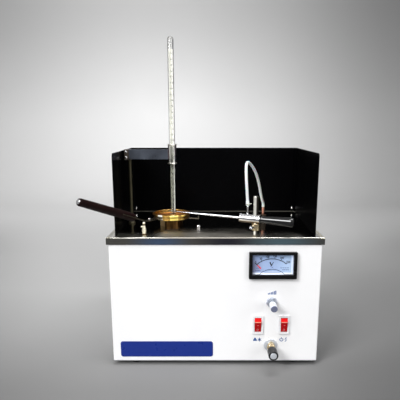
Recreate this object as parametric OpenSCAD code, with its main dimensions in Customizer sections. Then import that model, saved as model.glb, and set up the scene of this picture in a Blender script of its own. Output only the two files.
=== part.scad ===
// Open-cup flash point tester: a heated cup on a cabinet, with a black windshield around it,
// a thermometer on a clamp and a swinging test flame fed by a hose.
// Millimetres. X runs to the right, Y to the back and Z up from the bench.

/* [Cabinet] */
// Width of the steel top plate
deck_w = 360; // [340:1:380]
// Depth of the steel top plate
deck_d = 245; // [235:1:260]
// Height of the top plate above the bench
deck_z = 230; // [220:1:240]
// Height of the top plate's folded skirt
skirt_h = 12.4; // [10:0.2:14]
// Width of the painted cabinet
cabinet_w = 354; // [340:1:354]
// Height of the rubber feet
foot_h = 8; // [6:0.5:10]
// Diameter of the rubber feet
foot_d = 22; // [18:1:26]

/* [Windshield] */
// Height of the windshield above the top plate
shield_h = 136; // [120:1:150]
// Width across the windshield's back panel
shield_back_w = 349; // [340:1:352]
// Width across the front edges of its wings
shield_front_w = 331; // [320:1:349]
// Distance of the back panel behind the top plate's front edge
shield_y = 232; // [220:1:234]
// Radius of the wings' top front corners
shield_corner_r = 7; // [4:0.5:12]

/* [Cup] */
// Distance of the cup's axis left of the cabinet's middle
cup_left = 80; // [76:1:84]
// Distance of the cup's axis behind the top plate's front edge
cup_back = 98.5; // [96:0.5:101]
// Height of the cup's lip above the top plate
cup_rise = 23; // [21:0.5:25]
// Diameter of the cup's lip
cup_lip_d = 69.7; // [66:0.1:72]
// Diameter of the cup's lower body
cup_body_d = 42; // [40:0.5:44]
// Direction of the cup's handle, forward of straight left
handle_turn = 54; // [52:1:56]
// Length of the handle's grip
grip_l = 117; // [100:1:120]
// Rise of the handle's grip
grip_rise = 20.9; // [18:0.1:22]

/* [Thermometer] */
// Length of the glass thermometer
thermometer_l = 332; // [300:1:340]
// Diameter of the glass thermometer
thermometer_d = 7; // [6:0.1:7]
// Distance of the thermometer behind the cup's axis
thermometer_back = 13; // [12:0.5:14]
// Height of the clamp arm's top edge above the top plate
clamp_top = 138; // [130:1:140]

/* [Test flame] */
// Distance of the flame arm's post right of the cabinet's middle
flame_right = 68.5; // [66:0.5:72]
// Distance of the post behind the top plate's front edge
flame_back = 28; // [26:1:30]
// Height of the flame arm's pivot above the top plate
flame_rise = 25; // [24:0.5:26]
// Distance of the flame tube's tip from the post
flame_reach = 164; // [155:1:166]
// Direction of the flame tube, back from straight left
flame_turn = 22.6; // [20:0.1:25]
// Height of the flame arm's post above the top plate
post_h = 64; // [60:1:68]
// Diameter of the flame arm's post
post_d = 8.6; // [8:0.1:9]

/* [Front panel] */
// Distance of the meter and knobs right of the cabinet's middle
panel_x = 95.5; // [90:0.5:96]
// Height of the meter's middle below the top plate
meter_drop = 47.4; // [44:0.2:50]
// Height of the voltage knob below the top plate
knob_drop = 112.5; // [108:0.5:116]
// Height of the two rocker switches below the top plate
switch_drop = 154.2; // [150:0.2:158]
// Distance between the two rocker switches
switch_pitch = 44.8; // [42:0.2:48]
// Height of the gas valve below the top plate
valve_drop = 191.5; // [188:0.5:194]

/* [Hidden] */
$fn = 48;

// The frame's origin is on the bench under the middle of what the tester covers
origin_x = 12;
origin_y = -95;

sheet = 1.5;
panel_t = 1.2;
slip = 0.05;
deck_under = deck_z - sheet;
cabinet_d = deck_d - 2 * sheet;
cabinet_y = sheet;
cabinet_top = deck_under;
cabinet_floor = foot_h;
back_y = cabinet_y + cabinet_d;
foot_x = 139;
foot_y = 20;
shield_front_y = 6;
shield_bend_r = 3;
shield_lean = atan((shield_back_w - shield_front_w) / 2 / (shield_y - shield_front_y));
shield_bend_x = shield_back_w / 2 - shield_bend_r * (1 + sin(shield_lean)) / cos(shield_lean);
shield_screw_x = 168.5;
shield_screw_rise = 8;
bracket_screw_x = 150;
bead_x = -120;
bead_y = 22.6;
dome_x = -29.4;
dome_y = 65.3;

cup_x = -cup_left;
cup_y = cup_back;
cup_bottom = deck_z - 9;
cup_depth_z = cup_bottom + 3;
handle_dir = 180 + handle_turn;
strap_z = 18.4;
strap_t = 1.8;
strap_w = 11;
strap_end = 68.5;
grip_start = 95.3;
grip_height = strap_z + (grip_start - strap_end) * tan(grip_rise);
tang_l = 32;
rivet_x = [9, 23];
thermometer_x = cup_x + 2;
thermometer_y = cup_y + thermometer_back;
thermometer_z = cup_depth_z + 6.4;
tpost_x = -156.4;
tpost_d = 6.2;
clamp_screw_x = -161.2;
arm_t = 1.6;
arm_strip_h = 17.6;
arm_y = thermometer_y - 9.8;

flame_x = flame_right;
flame_y = flame_back;
flame_z = deck_z + flame_rise;
flame_dir = 180 - flame_turn;
flame_tilt = 0.7;
block_d = 15;
block_left = 29.5;
block_right = 8;
nipple_x = 14.7;
gas_x = 92;
gas_y = 120;

meter_z = deck_z - meter_drop;
meter_w = 79.5;
meter_h = 45.8;
window_w = 68;
window_h = 34.4;
window_up = 1.9;
bezel_t = 6;
needle_x = -1;
needle_drop = 20.3;
needle_l = 37;
needle_zero = -50;
needle_y = -2.1;
cover_r = 26.7;
cover_drop = 35.9;
knob_z = deck_z - knob_drop;
switch_z = deck_z - switch_drop;
valve_z = deck_z - valve_drop;
valve_depth = 38;
rocker_y = cabinet_y + 1.5;

fan_x = -80;
fan_z = 128;
fan_size = 80;
fan_t = 25;
fan_screw = 35.75;
guard_t = 1.6;
inlet_x = 95;
inlet_z = 120;
rear_gas_x = panel_x;
rear_gas_z = valve_z;
pipe_d = 6;
hose_d = 5.2;
spigot_d = 8;

// Route of the gas hose from the arm's nipple, up and over to the top plate's nipple
hose_route = [
  [54.9, 33.6, 277.0], [54.9, 33.6, 284.0], [54.4, 34.6, 292.0], [53.4, 37.0, 302.0],
  [52.4, 40.4, 314.0], [51.8, 44.0, 325.5], [52.0, 48.2, 336.5], [53.4, 53.0, 345.3],
  [56.2, 58.2, 350.4], [60.4, 63.6, 351.0], [65.0, 69.0, 346.6], [69.5, 74.6, 338.0],
  [73.8, 80.8, 326.5], [78.0, 88.0, 312.0], [81.6, 95.2, 297.5], [84.8, 102.6, 282.5],
  [87.8, 110.4, 273.5], [90.6, 117.4, 269.0], [92.0, 120.0, 264.5], [92.0, 120.0, 259.8]
];

// 2-D and small shared shapes

module rounded_rect(w, h, r) {
  square([w - 2 * r, h], center = true);
  square([w, h - 2 * r], center = true);
  for (x = [-1, 1], y = [-1, 1])
    translate([x * (w / 2 - r), y * (h / 2 - r)]) circle(r);
}

// A plate that faces the front: its outline in X and Z, its thickness from y0 backwards
module front_plate(t, y0 = 0) {
  translate([0, y0 + t, 0]) rotate([90, 0, 0]) linear_extrude(t) children();
}

// A turned piece whose axis points to the front, its base on y = 0
module turned_front() {
  rotate([90, 0, 0]) rotate_extrude() children();
}

module hex(across, h) {
  cylinder(d = across / cos(30), h = h, $fn = 6);
}

// A pan-head screw, head down at z = 0 and shank pointing up
module pan_screw(head_d, head_h, shank_d, shank_l) {
  rotate_extrude() {
    polygon([[0, -head_h], [head_d * 0.28, -head_h], [head_d * 0.42, -head_h * 0.75],
             [head_d / 2, -head_h * 0.25], [head_d / 2, 0], [shank_d / 2, 0],
             [shank_d / 2, shank_l], [0, shank_l]]);
  }
}

// Cabinet

module cabinet_outline(w, d, r) {
  translate([0, cabinet_y + d / 2]) rounded_rect(w, d, r);
}

module cabinet_shell() {
  color("whitesmoke") difference() {
    translate([0, 0, cabinet_floor + panel_t]) linear_extrude(cabinet_top - cabinet_floor - panel_t)
      difference() {
        cabinet_outline(cabinet_w, cabinet_d, 2.4);
        translate([0, panel_t / 2]) cabinet_outline(cabinet_w - 2 * panel_t, cabinet_d - panel_t, 1.2);
        translate([-cabinet_w / 2, back_y - 2 * panel_t]) square([cabinet_w, 4 * panel_t]);
      }
    translate([panel_x, 0, meter_z]) front_plate(6, -1) square([72, 38], center = true);
    translate([panel_x, 8, knob_z]) rotate([90, 0, 0]) cylinder(d = 10.2, h = 12);
    translate([panel_x, 8, valve_z]) rotate([90, 0, 0]) cylinder(d = 14.2, h = 12);
    for (side = [-1, 1])
      translate([panel_x + side * switch_pitch / 2, 0, switch_z])
        front_plate(6, -1) square([14.2, 29.2], center = true);
    side_louvres();
  }
}

// Rows of air slots low on both side walls, behind the middle
module side_louvres() {
  for (side = [-1, 1], row = [0:7])
    translate([side * cabinet_w / 2, back_y - 75, 40 + row * 9]) cube([8, 70, 3], center = true);
}

module base_pan() {
  flange = 14;
  pan_w = cabinet_w - 2 * panel_t - 1;
  pan_d = cabinet_d - 3 * panel_t - 1;
  pan_y = cabinet_y + panel_t + 0.5 + pan_d / 2;
  color("silver") difference() {
    union() {
      translate([0, 0, cabinet_floor]) linear_extrude(panel_t)
        cabinet_outline(cabinet_w, cabinet_d, 2.4);
      translate([0, 0, cabinet_floor + panel_t]) linear_extrude(flange)
        difference() {
          translate([0, pan_y]) square([pan_w, pan_d], center = true);
          translate([0, pan_y]) square([pan_w - 2 * panel_t, pan_d - 2 * panel_t], center = true);
        }
    }
    for (x = [-1, 1], y = [foot_y, deck_d - foot_y])
      translate([x * foot_x, y, 0]) cylinder(d = 4.3, h = 40);
    // Air slots under the heater
    for (row = [-4:4])
      translate([cup_x, cup_y + row * 11, cabinet_floor]) cube([80, 4, 8], center = true);
  }
}

module rear_panel() {
  w = cabinet_w - 2 * panel_t - 0.6;
  h = cabinet_top - cabinet_floor - panel_t - 0.4;
  color("whitesmoke") difference() {
    translate([0, back_y - 2 * panel_t, cabinet_floor + panel_t + h / 2 + 0.2])
      front_plate(panel_t) rounded_rect(w, h, 2);
    translate([fan_x, back_y, fan_z]) rotate([90, 0, 0]) cylinder(d = 76, h = 12, center = true);
    translate([inlet_x, back_y, inlet_z]) cube([27.2, 12, 47.2], center = true);
    translate([rear_gas_x, back_y, rear_gas_z]) rotate([90, 0, 0])
      cylinder(d = 10.2, h = 12, center = true);
    for (row = [0:6])
      translate([0, back_y, 70 + row * 9]) cube([44, 12, 3], center = true);
    fan_holes(4.3);
  }
}

module fan_holes(d) {
  for (x = [-1, 1], z = [-1, 1])
    translate([fan_x + x * fan_screw, back_y + 4, fan_z + z * fan_screw])
      rotate([90, 0, 0]) cylinder(d = d, h = 40);
}

module rubber_feet() {
  color("#1c1c1c") for (x = [-1, 1], y = [foot_y, deck_d - foot_y])
    translate([x * foot_x, y, 0]) rotate_extrude() difference() {
      polygon([[0, 0], [foot_d / 2 - 2, 0], [foot_d / 2 - 1, 0.6], [foot_d / 2, foot_h], [0, foot_h]]);
      square([2.15, foot_h]);
      square([5, 3.4]);
    }
}

// Screws of the feet and of the fan
module casing_screws() {
  color("silver") {
    for (x = [-1, 1], y = [foot_y, deck_d - foot_y])
      translate([x * foot_x, y, 3.4]) pan_screw(8, 2.6, 4, 16);
    for (x = [-1, 1], z = [-1, 1])
      translate([fan_x + x * fan_screw, back_y - panel_t + guard_t, fan_z + z * fan_screw])
        rotate([90, 0, 0]) pan_screw(7.5, 2.4, 4, 30);
  }
}

// Top plate: a folded steel tray, upside down over the cabinet

module rounded_slab(w, d, h, r) {
  intersection() {
    translate([0, d / 2, 0]) rotate([90, 0, 0]) linear_extrude(d, center = true) top_rounded(w, h, r);
    translate([0, d / 2, 0]) rotate([90, 0, 90]) linear_extrude(w, center = true) top_rounded(d, h, r);
  }
}

// Outline that hangs down from y = 0 with its two top corners rounded
module top_rounded(w, h, r) {
  translate([-w / 2, -h]) square([w, h - r]);
  translate([-w / 2 + r, -h]) square([w - 2 * r, h]);
  for (x = [-1, 1]) translate([x * (w / 2 - r), -r]) circle(r);
}

module deck_plate() {
  color("#b9bcc0") difference() {
    translate([0, 0, deck_z]) rounded_slab(deck_w, deck_d, skirt_h, 2.2);
    translate([-deck_w / 2 + sheet, sheet, deck_z - skirt_h - 1])
      cube([deck_w - 2 * sheet, deck_d - 2 * sheet, skirt_h + 1 - sheet]);
    translate([cup_x, cup_y, deck_under - 1]) cylinder(d = cup_body_d + 1, h = 4);
    translate([flame_x, flame_y, deck_under - 1]) cylinder(d = post_d + 0.4, h = 4);
    translate([tpost_x, thermometer_y, deck_under - 1]) cylinder(d = tpost_d + 0.4, h = 4);
    translate([gas_x, gas_y, deck_under - 1]) cylinder(d = 8.4, h = 4);
    translate([bead_x, bead_y, deck_under - 1]) cylinder(d = 4.4, h = 4);
    translate([dome_x, dome_y, deck_under - 1]) cylinder(d = 4.4, h = 4);
    for (side = [-1, 1])
      translate([side * bracket_screw_x, shield_y + 6, deck_under - 1]) cylinder(d = 4.4, h = 4);
  }
}

// Windshield

// Half of the folded sheet's plan, from the front edge of the right wing round its bend, for
// the sheet's outer face (inset 0) or its inner face
function shield_half(inset) = concat(
  [[shield_front_w / 2 - inset / cos(shield_lean), shield_front_y]],
  [for (i = [0:6]) let (a = -shield_lean + i * (90 + shield_lean) / 6)
    [shield_bend_x + (shield_bend_r - inset) * cos(a),
     shield_y - shield_bend_r + (shield_bend_r - inset) * sin(a)]]);
function mirrored(points) = [for (p = points) [-p[0], p[1]]];
function reversed(points) = [for (i = [len(points) - 1:-1:0]) points[i]];

// Plan of the folded sheet: a straight back and two wings that lean in to the front
module shield_plan() {
  outer = shield_half(0);
  inner = shield_half(panel_t);
  polygon(concat(outer, reversed(mirrored(outer)), mirrored(inner), reversed(inner)));
}

module windshield() {
  r = shield_corner_r;
  color("#141414") difference() {
    translate([0, 0, deck_z]) linear_extrude(shield_h) shield_plan();
    translate([0, shield_front_y, deck_z + shield_h]) rotate([90, 0, 90])
      linear_extrude(deck_w + 20, center = true)
      difference() {
        translate([-1, -r]) square([r + 1, r + 1]);
        translate([r, -r]) circle(r);
      }
    for (side = [-1, 1])
      translate([side * shield_screw_x, shield_y + 2, deck_z + shield_screw_rise])
        rotate([90, 0, 0]) cylinder(d = 3.4, h = 8);
  }
}

// Angle strip behind the windshield that holds it down to the top plate
module shield_bracket() {
  w = 344;
  color("#202020") difference() {
    union() {
      translate([-w / 2, shield_y, deck_z]) cube([w, sheet, 14]);
      translate([-w / 2, shield_y, deck_z]) cube([w, 12.5, sheet]);
    }
    for (side = [-1, 1]) {
      translate([side * shield_screw_x, shield_y + 4, deck_z + shield_screw_rise])
        rotate([90, 0, 0]) cylinder(d = 3.4, h = 8);
      translate([side * bracket_screw_x, shield_y + 6, deck_z - 1]) cylinder(d = 4.4, h = 4);
    }
  }
}

// Screws that hold the windshield, its bracket, and the domed screw beside the cup
module deck_screws() {
  color("gainsboro") {
    for (side = [-1, 1]) {
      translate([side * shield_screw_x, shield_y - panel_t, deck_z + shield_screw_rise])
        rotate([-90, 0, 0]) pan_screw(5.2, 2, 3.2, 6);
      translate([side * bracket_screw_x, shield_y + 6, deck_z + sheet])
        rotate([180, 0, 0]) pan_screw(6.6, 2.4, 4.2, 8);
    }
    translate([dome_x, dome_y, deck_z]) rotate_extrude() domed_screw_profile();
  }
}

module domed_screw_profile() {
  intersection() {
    union() {
      square([4.1, 4.5]);
      translate([0, 4.5]) square([2.1, 2]);
      translate([2.1, 4.5]) circle(2);
    }
    square([5, 7]);
  }
  translate([0, -4]) square([2.1, 4]);
}

// Panel meter

module meter_case() {
  face_y = cabinet_y - bezel_t;
  color("#101010") translate([panel_x, 0, meter_z]) difference() {
    union() {
      front_plate(bezel_t, face_y) rounded_rect(meter_w, meter_h, 1.2);
      front_plate(30, cabinet_y) square([71, 37], center = true);
    }
    // Window, with a shallow step round its mouth
    translate([0, 0, window_up]) front_plate(5, face_y - 0.5) square([window_w, window_h], center = true);
    translate([0, 0, window_up]) front_plate(1, face_y - 0.5)
      square([window_w + 1.6, window_h + 1.6], center = true);
    front_plate(28, face_y + 4.2) square([68.4, 34.4], center = true);
    // Pocket for the movement behind the bottom edge
    translate([needle_x, 0, -16.9]) front_plate(9, face_y + 2.2) square([40, 10.2], center = true);
  }
}

module meter_lens() {
  color("lightblue", 0.3) translate([panel_x, 0, meter_z + window_up])
    front_plate(1.2, cabinet_y - bezel_t + 0.8) square([window_w - 0.2, window_h - 0.2], center = true);
}

module meter_dial() {
  color("#c9d3e2") translate([panel_x, 0, meter_z])
    front_plate(0.8, cabinet_y - 0.3) square([68, 34], center = true);
}

// Pale cover in front of the meter's movement, round at its top
module meter_cover() {
  color("#e8edf2") translate([panel_x + needle_x, 0, meter_z])
    front_plate(0.7, cabinet_y - bezel_t + 2.3) intersection() {
      translate([0, -cover_drop]) circle(cover_r);
      translate([-18, -21.8]) square([36, 16]);
    }
}

module meter_needle() {
  color("#c03028")
    translate([panel_x + needle_x, needle_y + cabinet_y, meter_z - needle_drop]) {
      rotate([90, 0, 0]) cylinder(d = 2.6, h = 1.2, center = true);
      rotate([0, needle_zero, 0]) translate([-0.35, -0.3, 0]) cube([0.7, 0.6, needle_l]);
    }
}

// Voltage regulator

module regulator_pot() {
  color("slategray") translate([panel_x, 0, knob_z]) difference() {
    union() {
      translate([0, cabinet_y + panel_t + 22, 0]) rotate([90, 0, 0]) cylinder(d = 28, h = 22);
      translate([0, cabinet_y + panel_t + 1, 0]) rotate([90, 0, 0]) cylinder(d = 10, h = 11);
      translate([0, cabinet_y + panel_t + 12, -16]) cube([16, 2, 10], center = true);
    }
    translate([0, 40, 0]) rotate([90, 0, 0]) cylinder(d = 6.1, h = 60);
  }
}

module regulator_nut() {
  color("silver") translate([panel_x, cabinet_y, knob_z]) difference() {
    rotate([90, 0, 0]) {
      cylinder(d = 18.6, h = 1);
      translate([0, 0, 1]) hex(16, 3.6);
    }
    rotate([90, 0, 0]) translate([0, 0, -1]) cylinder(d = 10.02, h = 8);
  }
}

module regulator_shaft() {
  color("silver") translate([panel_x, 0, knob_z]) rotate([90, 0, 0])
    translate([0, 0, -18]) cylinder(d = 6, h = 40);
}

module regulator_knob() {
  front = 30;
  color("#d9dbe0") translate([panel_x, 0, knob_z]) difference() {
    turned_front() polygon([[0, 10.2], [5.5, 10.2], [5.8, 10.6], [5.8, front - 0.8],
                            [5, front], [0, front]]);
    translate([0, -9, 0]) rotate([90, 0, 0]) cylinder(d = 6, h = 13);
    // Pointer groove along the barrel
    translate([0, -20, 5.8]) cube([0.9, 30, 1], center = true);
  }
}

// Rocker switches

module switch_housing(x) {
  color("white") translate([x, 0, switch_z]) difference() {
    union() {
      front_plate(2.2, cabinet_y - 2.2) rounded_rect(18.5, 34, 1.4);
      front_plate(24, cabinet_y) square([13.8, 28.8], center = true);
    }
    front_plate(17, cabinet_y - 3) square([11.6, 26.4], center = true);
    translate([0, rocker_y, 0]) rotate([0, 90, 0]) cylinder(d = 2.6, h = 13, center = true);
  }
  // Terminal blades
  color("goldenrod") for (z = [-9, 0, 9])
    translate([x, cabinet_y + 27, switch_z + z]) cube([6.3, 8, 0.8], center = true);
}

// Side outline of the rocker at rest, in Y and Z about its pivot: the upper third faces up
// and the ridge between its two faces stands out
module rocker_profile() {
  polygon([[-2.4, 12.4], [-7, 6.9], [-7, 6], [-2.2, -12.6], [3.5, -11.2],
           [6.5, -5], [7.5, 0], [6.5, 5], [3.5, 11.2]]);
}

module rocker(x) {
  color("#c4161c") translate([x, rocker_y, switch_z]) {
    rotate([90, 0, 90]) linear_extrude(10.8, center = true) rocker_profile();
    rotate([0, 90, 0]) cylinder(d = 2.5, h = 12.6, center = true);
  }
}

module switch_housing_left() { switch_housing(panel_x - switch_pitch / 2); }
module switch_housing_right() { switch_housing(panel_x + switch_pitch / 2); }
module rocker_left() { rocker(panel_x - switch_pitch / 2); }
module rocker_right() { rocker(panel_x + switch_pitch / 2); }

// Gas valve

module valve_body() {
  color("#b08d46") translate([panel_x, 0, valve_z]) difference() {
    union() {
      translate([0, cabinet_y + panel_t, 0]) rotate([-90, 0, 0]) cylinder(d = 20, h = 30);
      rotate([90, 0, 0]) translate([0, 0, -4]) cylinder(d = 14, h = 12.5);
      turned_front() translate([0, 8.5])
        polygon([[0, 0], [7, 0], [6.2, 1.6], [5, 2.4], [5, 5.5], [0, 5.5]]);
      translate([0, 20, 0]) cylinder(d = 11, h = 16);
    }
    translate([0, cabinet_y + 22, 0]) rotate([90, 0, 0]) cylinder(d = 5, h = 50);
  }
}

module valve_flange() {
  color("gainsboro") translate([panel_x, 0, valve_z]) turned_front() difference() {
    polygon([[0, -cabinet_y], [11.6, -cabinet_y], [11.6, -cabinet_y + 1.4],
             [10.8, -cabinet_y + 2.2], [8, -cabinet_y + 2.6], [0, -cabinet_y + 2.6]]);
    square([14.02, 12], center = true);
  }
}

module valve_stem() {
  color("silver") translate([panel_x, 0, valve_z]) rotate([90, 0, 0])
    translate([0, 0, -16]) cylinder(d = 4.9, h = valve_depth + 12);
}

module valve_knob() {
  grooves = 24;
  back = 15;
  color("#161616") translate([panel_x, 0, valve_z]) difference() {
    turned_front() difference() {
      polygon([[0, back], [4.8, back], [6.4, back + 2], [6.4, back + 4.5], [8.1, back + 6],
               [8.1, valve_depth - 1], [7.3, valve_depth], [0, valve_depth]]);
      translate([0, valve_depth - 1.2]) square([5.6, 3]);
    }
    translate([0, -back + 2, 0]) rotate([90, 0, 0]) cylinder(d = 4.9, h = valve_depth - back);
    for (i = [0:grooves - 1])
      rotate([0, i * 360 / grooves, 0]) translate([0, -back - 14, 8.5])
        rotate([90, 0, 0]) cylinder(d = 1.1, h = 17, center = true, $fn = 16);
  }
}

module valve_insert() {
  color("gainsboro") translate([panel_x, 0, valve_z]) turned_front()
    translate([0, valve_depth - 1.2]) polygon([[0, 0], [5.5, 0], [5.5, 1], [4.9, 1.5], [0, 1.7]]);
}

// Gas supply

module gas_pipes() {
  bend = 14;
  rise_y = 20;
  color("#b0693a") {
    // From the rear nipple to the back of the valve
    translate([panel_x, cabinet_y + panel_t + 30, valve_z]) rotate([-90, 0, 0])
      cylinder(d = pipe_d, h = back_y - 14 - cabinet_y - panel_t - 30);
    // From the top of the valve, up, back and up again to the top plate's nipple
    translate([panel_x, rise_y, valve_z + 16]) cylinder(d = pipe_d, h = 26);
    translate([panel_x, rise_y, valve_z + 42]) pipe_turn(bend);
    translate([panel_x, rise_y + bend, valve_z + 42 + bend]) rotate([-90, 0, 0])
      cylinder(d = pipe_d, h = gas_y - rise_y - 2 * bend);
    translate([panel_x, gas_y, valve_z + 42 + 2 * bend]) rotate([180, 0, 0]) pipe_turn(bend);
    translate([panel_x, gas_y, valve_z + 42 + 2 * bend])
      cylinder(d = pipe_d, h = deck_under - 12 - valve_z - 42 - 2 * bend);
  }
}

// A quarter bend that leaves the origin going up and ends going back along +Y
module pipe_turn(bend) {
  translate([0, bend, 0]) rotate([90, 0, -90]) rotate_extrude(angle = 90)
    translate([bend, 0]) circle(d = pipe_d);
}

module deck_nipple() {
  color("#c98a5a") translate([gas_x, gas_y, deck_z]) {
    rotate([0, 0, 15]) hex(12, 9);
    translate([0, 0, 9]) hex(11, 6);
    rotate_extrude()
      polygon([[0, 15], [2.2, 15], [2.2, 24], [2.6, 25], [2.2, 28], [1.2, 29.5], [0, 29.5]]);
  }
  color("#c98a5a") translate([gas_x, gas_y, deck_under - 12]) cylinder(d = 8, h = 13.5);
}

module rear_nipple() {
  color("#b08d46") translate([rear_gas_x, back_y, rear_gas_z]) rotate([-90, 0, 0]) {
    translate([0, 0, -14]) cylinder(d = 10, h = 14);
    translate([0, 0, -panel_t]) hex(14, 4);
    rotate_extrude() polygon([[0, 2.8], [spigot_d / 2, 2.8], [spigot_d / 2, 15],
                              [spigot_d / 2 - 0.8, 16], [0, 16]]);
  }
}

// Heater

module heater_plate() {
  color("#8a6a3c") translate([cup_x, cup_y, cup_bottom - 6]) difference() {
    cylinder(d = 108, h = 8);
    translate([0, 0, 6]) cylinder(d = cup_body_d + 1.2, h = 4);
  }
}

module heater_element() {
  z = cup_bottom - 6 - 16;
  color("ivory") translate([cup_x, cup_y, z]) difference() {
    cylinder(d = 108, h = 16);
    for (r = [18, 30, 42])
      rotate_extrude() translate([r, 16]) circle(4);
  }
  color("#6b6f74") for (r = [18, 30, 42])
    translate([cup_x, cup_y, z + 13]) rotate_extrude() translate([r, 0]) circle(2.4);
}

module heater_pot() {
  z = cup_bottom - 6 - 16 - 2;
  color("silver") translate([cup_x, cup_y, z]) difference() {
    union() {
      cylinder(d = 116, h = 26);
      translate([0, 0, 24]) cylinder(d = 140, h = 2);
    }
    translate([0, 0, 2]) cylinder(d = 112, h = 30);
    cylinder(d = 10, h = 8, center = true);
    for (a = [30:120:270]) rotate([0, 0, a]) translate([64, 0, 20]) cylinder(d = 5.4, h = 12);
  }
}

// Three studs that hang the heater under the top plate
module heater_studs() {
  top = deck_under;
  low = cup_bottom - 8;
  color("silver") for (a = [30:120:270])
    translate([cup_x, cup_y, 0]) rotate([0, 0, a]) translate([64, 0, 0]) {
      translate([0, 0, low - 6]) cylinder(d = 5, h = top - low + 6);
      translate([0, 0, low - 2 - 4]) hex(8, 4);
      translate([0, 0, low + 2]) hex(8, 4);
    }
}

module seat_ring() {
  color("#d8d2c4") translate([cup_x, cup_y, deck_under - 3]) difference() {
    cylinder(d = 66, h = 3);
    translate([0, 0, -1]) cylinder(d = cup_body_d + 1, h = 5);
  }
}

// Cup

module cup_body() {
  rim_z = cup_rise;
  lip_r = cup_lip_d / 2;
  body_r = cup_body_d / 2;
  color("#b98a3e") translate([cup_x, cup_y, deck_z]) rotate_extrude($fn = 96) polygon([
    [0, -9], [body_r - 0.8, -9], [body_r, -8.2], [body_r, rim_z - 11], [body_r + 1.2, rim_z - 9.8],
    [lip_r - 2.2, rim_z - 9.8], [lip_r - 1.6, rim_z - 9.2], [lip_r - 1.6, rim_z - 7.6],
    [lip_r - 2.2, rim_z - 7], [lip_r - 2.8, rim_z - 6.6], [lip_r - 2.8, rim_z - 3.6],
    [lip_r - 0.5, rim_z - 2.9], [lip_r, rim_z - 2.4], [lip_r, rim_z - 0.6], [lip_r - 0.6, rim_z],
    [lip_r - 2.3, rim_z], [lip_r - 3, rim_z - 0.8], [lip_r - 3.4, rim_z - 5.2],
    [lip_r - 5.2, rim_z - 7.2], [body_r - 0.6, rim_z - 7.6], [body_r - 2, rim_z - 8.6],
    [body_r - 2, -4.6], [body_r - 3.6, -6], [0, -6]
  ]);
}

// The strap's own frame: the origin at the cup's axis, +X along the handle
module on_handle() {
  translate([cup_x, cup_y, deck_z]) rotate([0, 0, handle_dir]) children();
}

module strap_side() {
  half = strap_t / 2;
  run = (grip_start - strap_end) / cos(grip_rise) + tang_l;
  translate([cup_lip_d / 2 - 4, strap_z - half]) square([strap_end - cup_lip_d / 2 + 4, strap_t]);
  translate([strap_end, strap_z]) {
    rotate(grip_rise) translate([0, -half]) square([run, strap_t]);
    circle(half);
  }
}

module cup_strap() {
  color("#a8a49a") {
    on_handle() difference() {
      rotate([90, 0, 0]) linear_extrude(strap_w, center = true) strap_side();
      cylinder(r = cup_lip_d / 2 - 2.78, h = 60, center = true);
    }
    hook();
  }
}

// Small bent lug on the far side of the cup, to lift it by
module hook() {
  lug_turn = -16;
  reach = 52;
  translate([cup_x, cup_y, deck_z]) rotate([0, 0, lug_turn]) {
    difference() {
      translate([cup_lip_d / 2 - 2.6, -2, cup_rise - 9]) cube([reach - cup_lip_d / 2 + 2.6, 4, 1.4]);
      cylinder(r = cup_lip_d / 2 - 1.58, h = 60, center = true);
    }
    translate([reach, -2, cup_rise - 9]) cube([1.4, 4, 5.6]);
  }
}

module on_grip() {
  on_handle() translate([grip_start, 0, grip_height]) rotate([0, -grip_rise, 0]) children();
}

module cup_grip() {
  color("#3a1e1c") on_grip() difference() {
    rotate([0, 90, 0]) rotate_extrude($fn = 64) polygon([
      [0, 0], [4.9, 0], [6.3, 1.2], [6.9, 4], [7, 16], [6.8, 50], [6.35, 90], [6.1, grip_l - 10],
      [6.1, grip_l - 3.4], [5.5, grip_l - 1.2], [4.2, grip_l], [0, grip_l]]);
    translate([-1, -8, -strap_t / 2 - slip]) cube([tang_l + 1.2, 16, strap_t + 2 * slip]);
    for (x = rivet_x) translate([x, 0, 0]) cylinder(d = 3.1, h = 20, center = true);
    translate([grip_l - 1.4, 0, 0]) rotate([0, 90, 0]) cylinder(d = 8.2, h = 5);
  }
}

// Polished button set in the end of the grip
module cup_button() {
  color("#d8c4c4") on_grip() translate([grip_l - 1.4, 0, 0]) rotate([0, 90, 0])
    rotate_extrude() polygon([[0, 0], [4, 0], [4, 1.5], [3, 2.2], [0, 2.5]]);
}

// Two rivets through the grip and the screw nub on the strap
module cup_rivets() {
  color("silver") {
    on_grip() for (x = rivet_x) translate([x, 0, 0]) difference() {
      cylinder(d = 3, h = 13.4, center = true);
      cube([4, 4, strap_t], center = true);
    }
    on_handle() translate([59, 0, strap_z + strap_t / 2]) rotate_extrude()
      polygon([[0, 0], [2.6, 0], [2.6, 1.6], [1.8, 2.6], [0, 3]]);
  }
}

// Thermometer and its clamp

module thermometer_post() {
  color("#8d8f86") translate([tpost_x, thermometer_y, 0]) {
    translate([0, 0, deck_under - 12]) cylinder(d = tpost_d, h = 12 + sheet + clamp_top - 4);
    translate([0, 0, deck_z]) difference() {
      rotate_extrude() polygon([[0, 0], [6.5, 0], [6.5, 2.4], [5.7, 3.2], [0, 3.2]]);
      translate([0, 0, -1]) cylinder(d = tpost_d, h = 6);
    }
    translate([0, 0, deck_under - 6]) difference() {
      hex(10, 6);
      translate([0, 0, -1]) cylinder(d = tpost_d, h = 8);
    }
  }
}

module clamp_block() {
  color("#8a8078") translate([-160, 0, deck_z + clamp_top - 19]) difference() {
    translate([-4.5, arm_y + arm_t, 0]) cube([11, 15, 19]);
    translate([160 + tpost_x, thermometer_y, -1]) cylinder(d = tpost_d + 2 * slip, h = 16);
    for (z = [4.5, 14.5])
      translate([160 + clamp_screw_x, arm_y + arm_t + 16, z]) rotate([90, 0, 0]) cylinder(d = 3, h = 20);
    // Saw cut of the split clamp
    translate([-6, thermometer_y - 0.5, -1]) cube([6, 1, 30]);
  }
}

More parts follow.
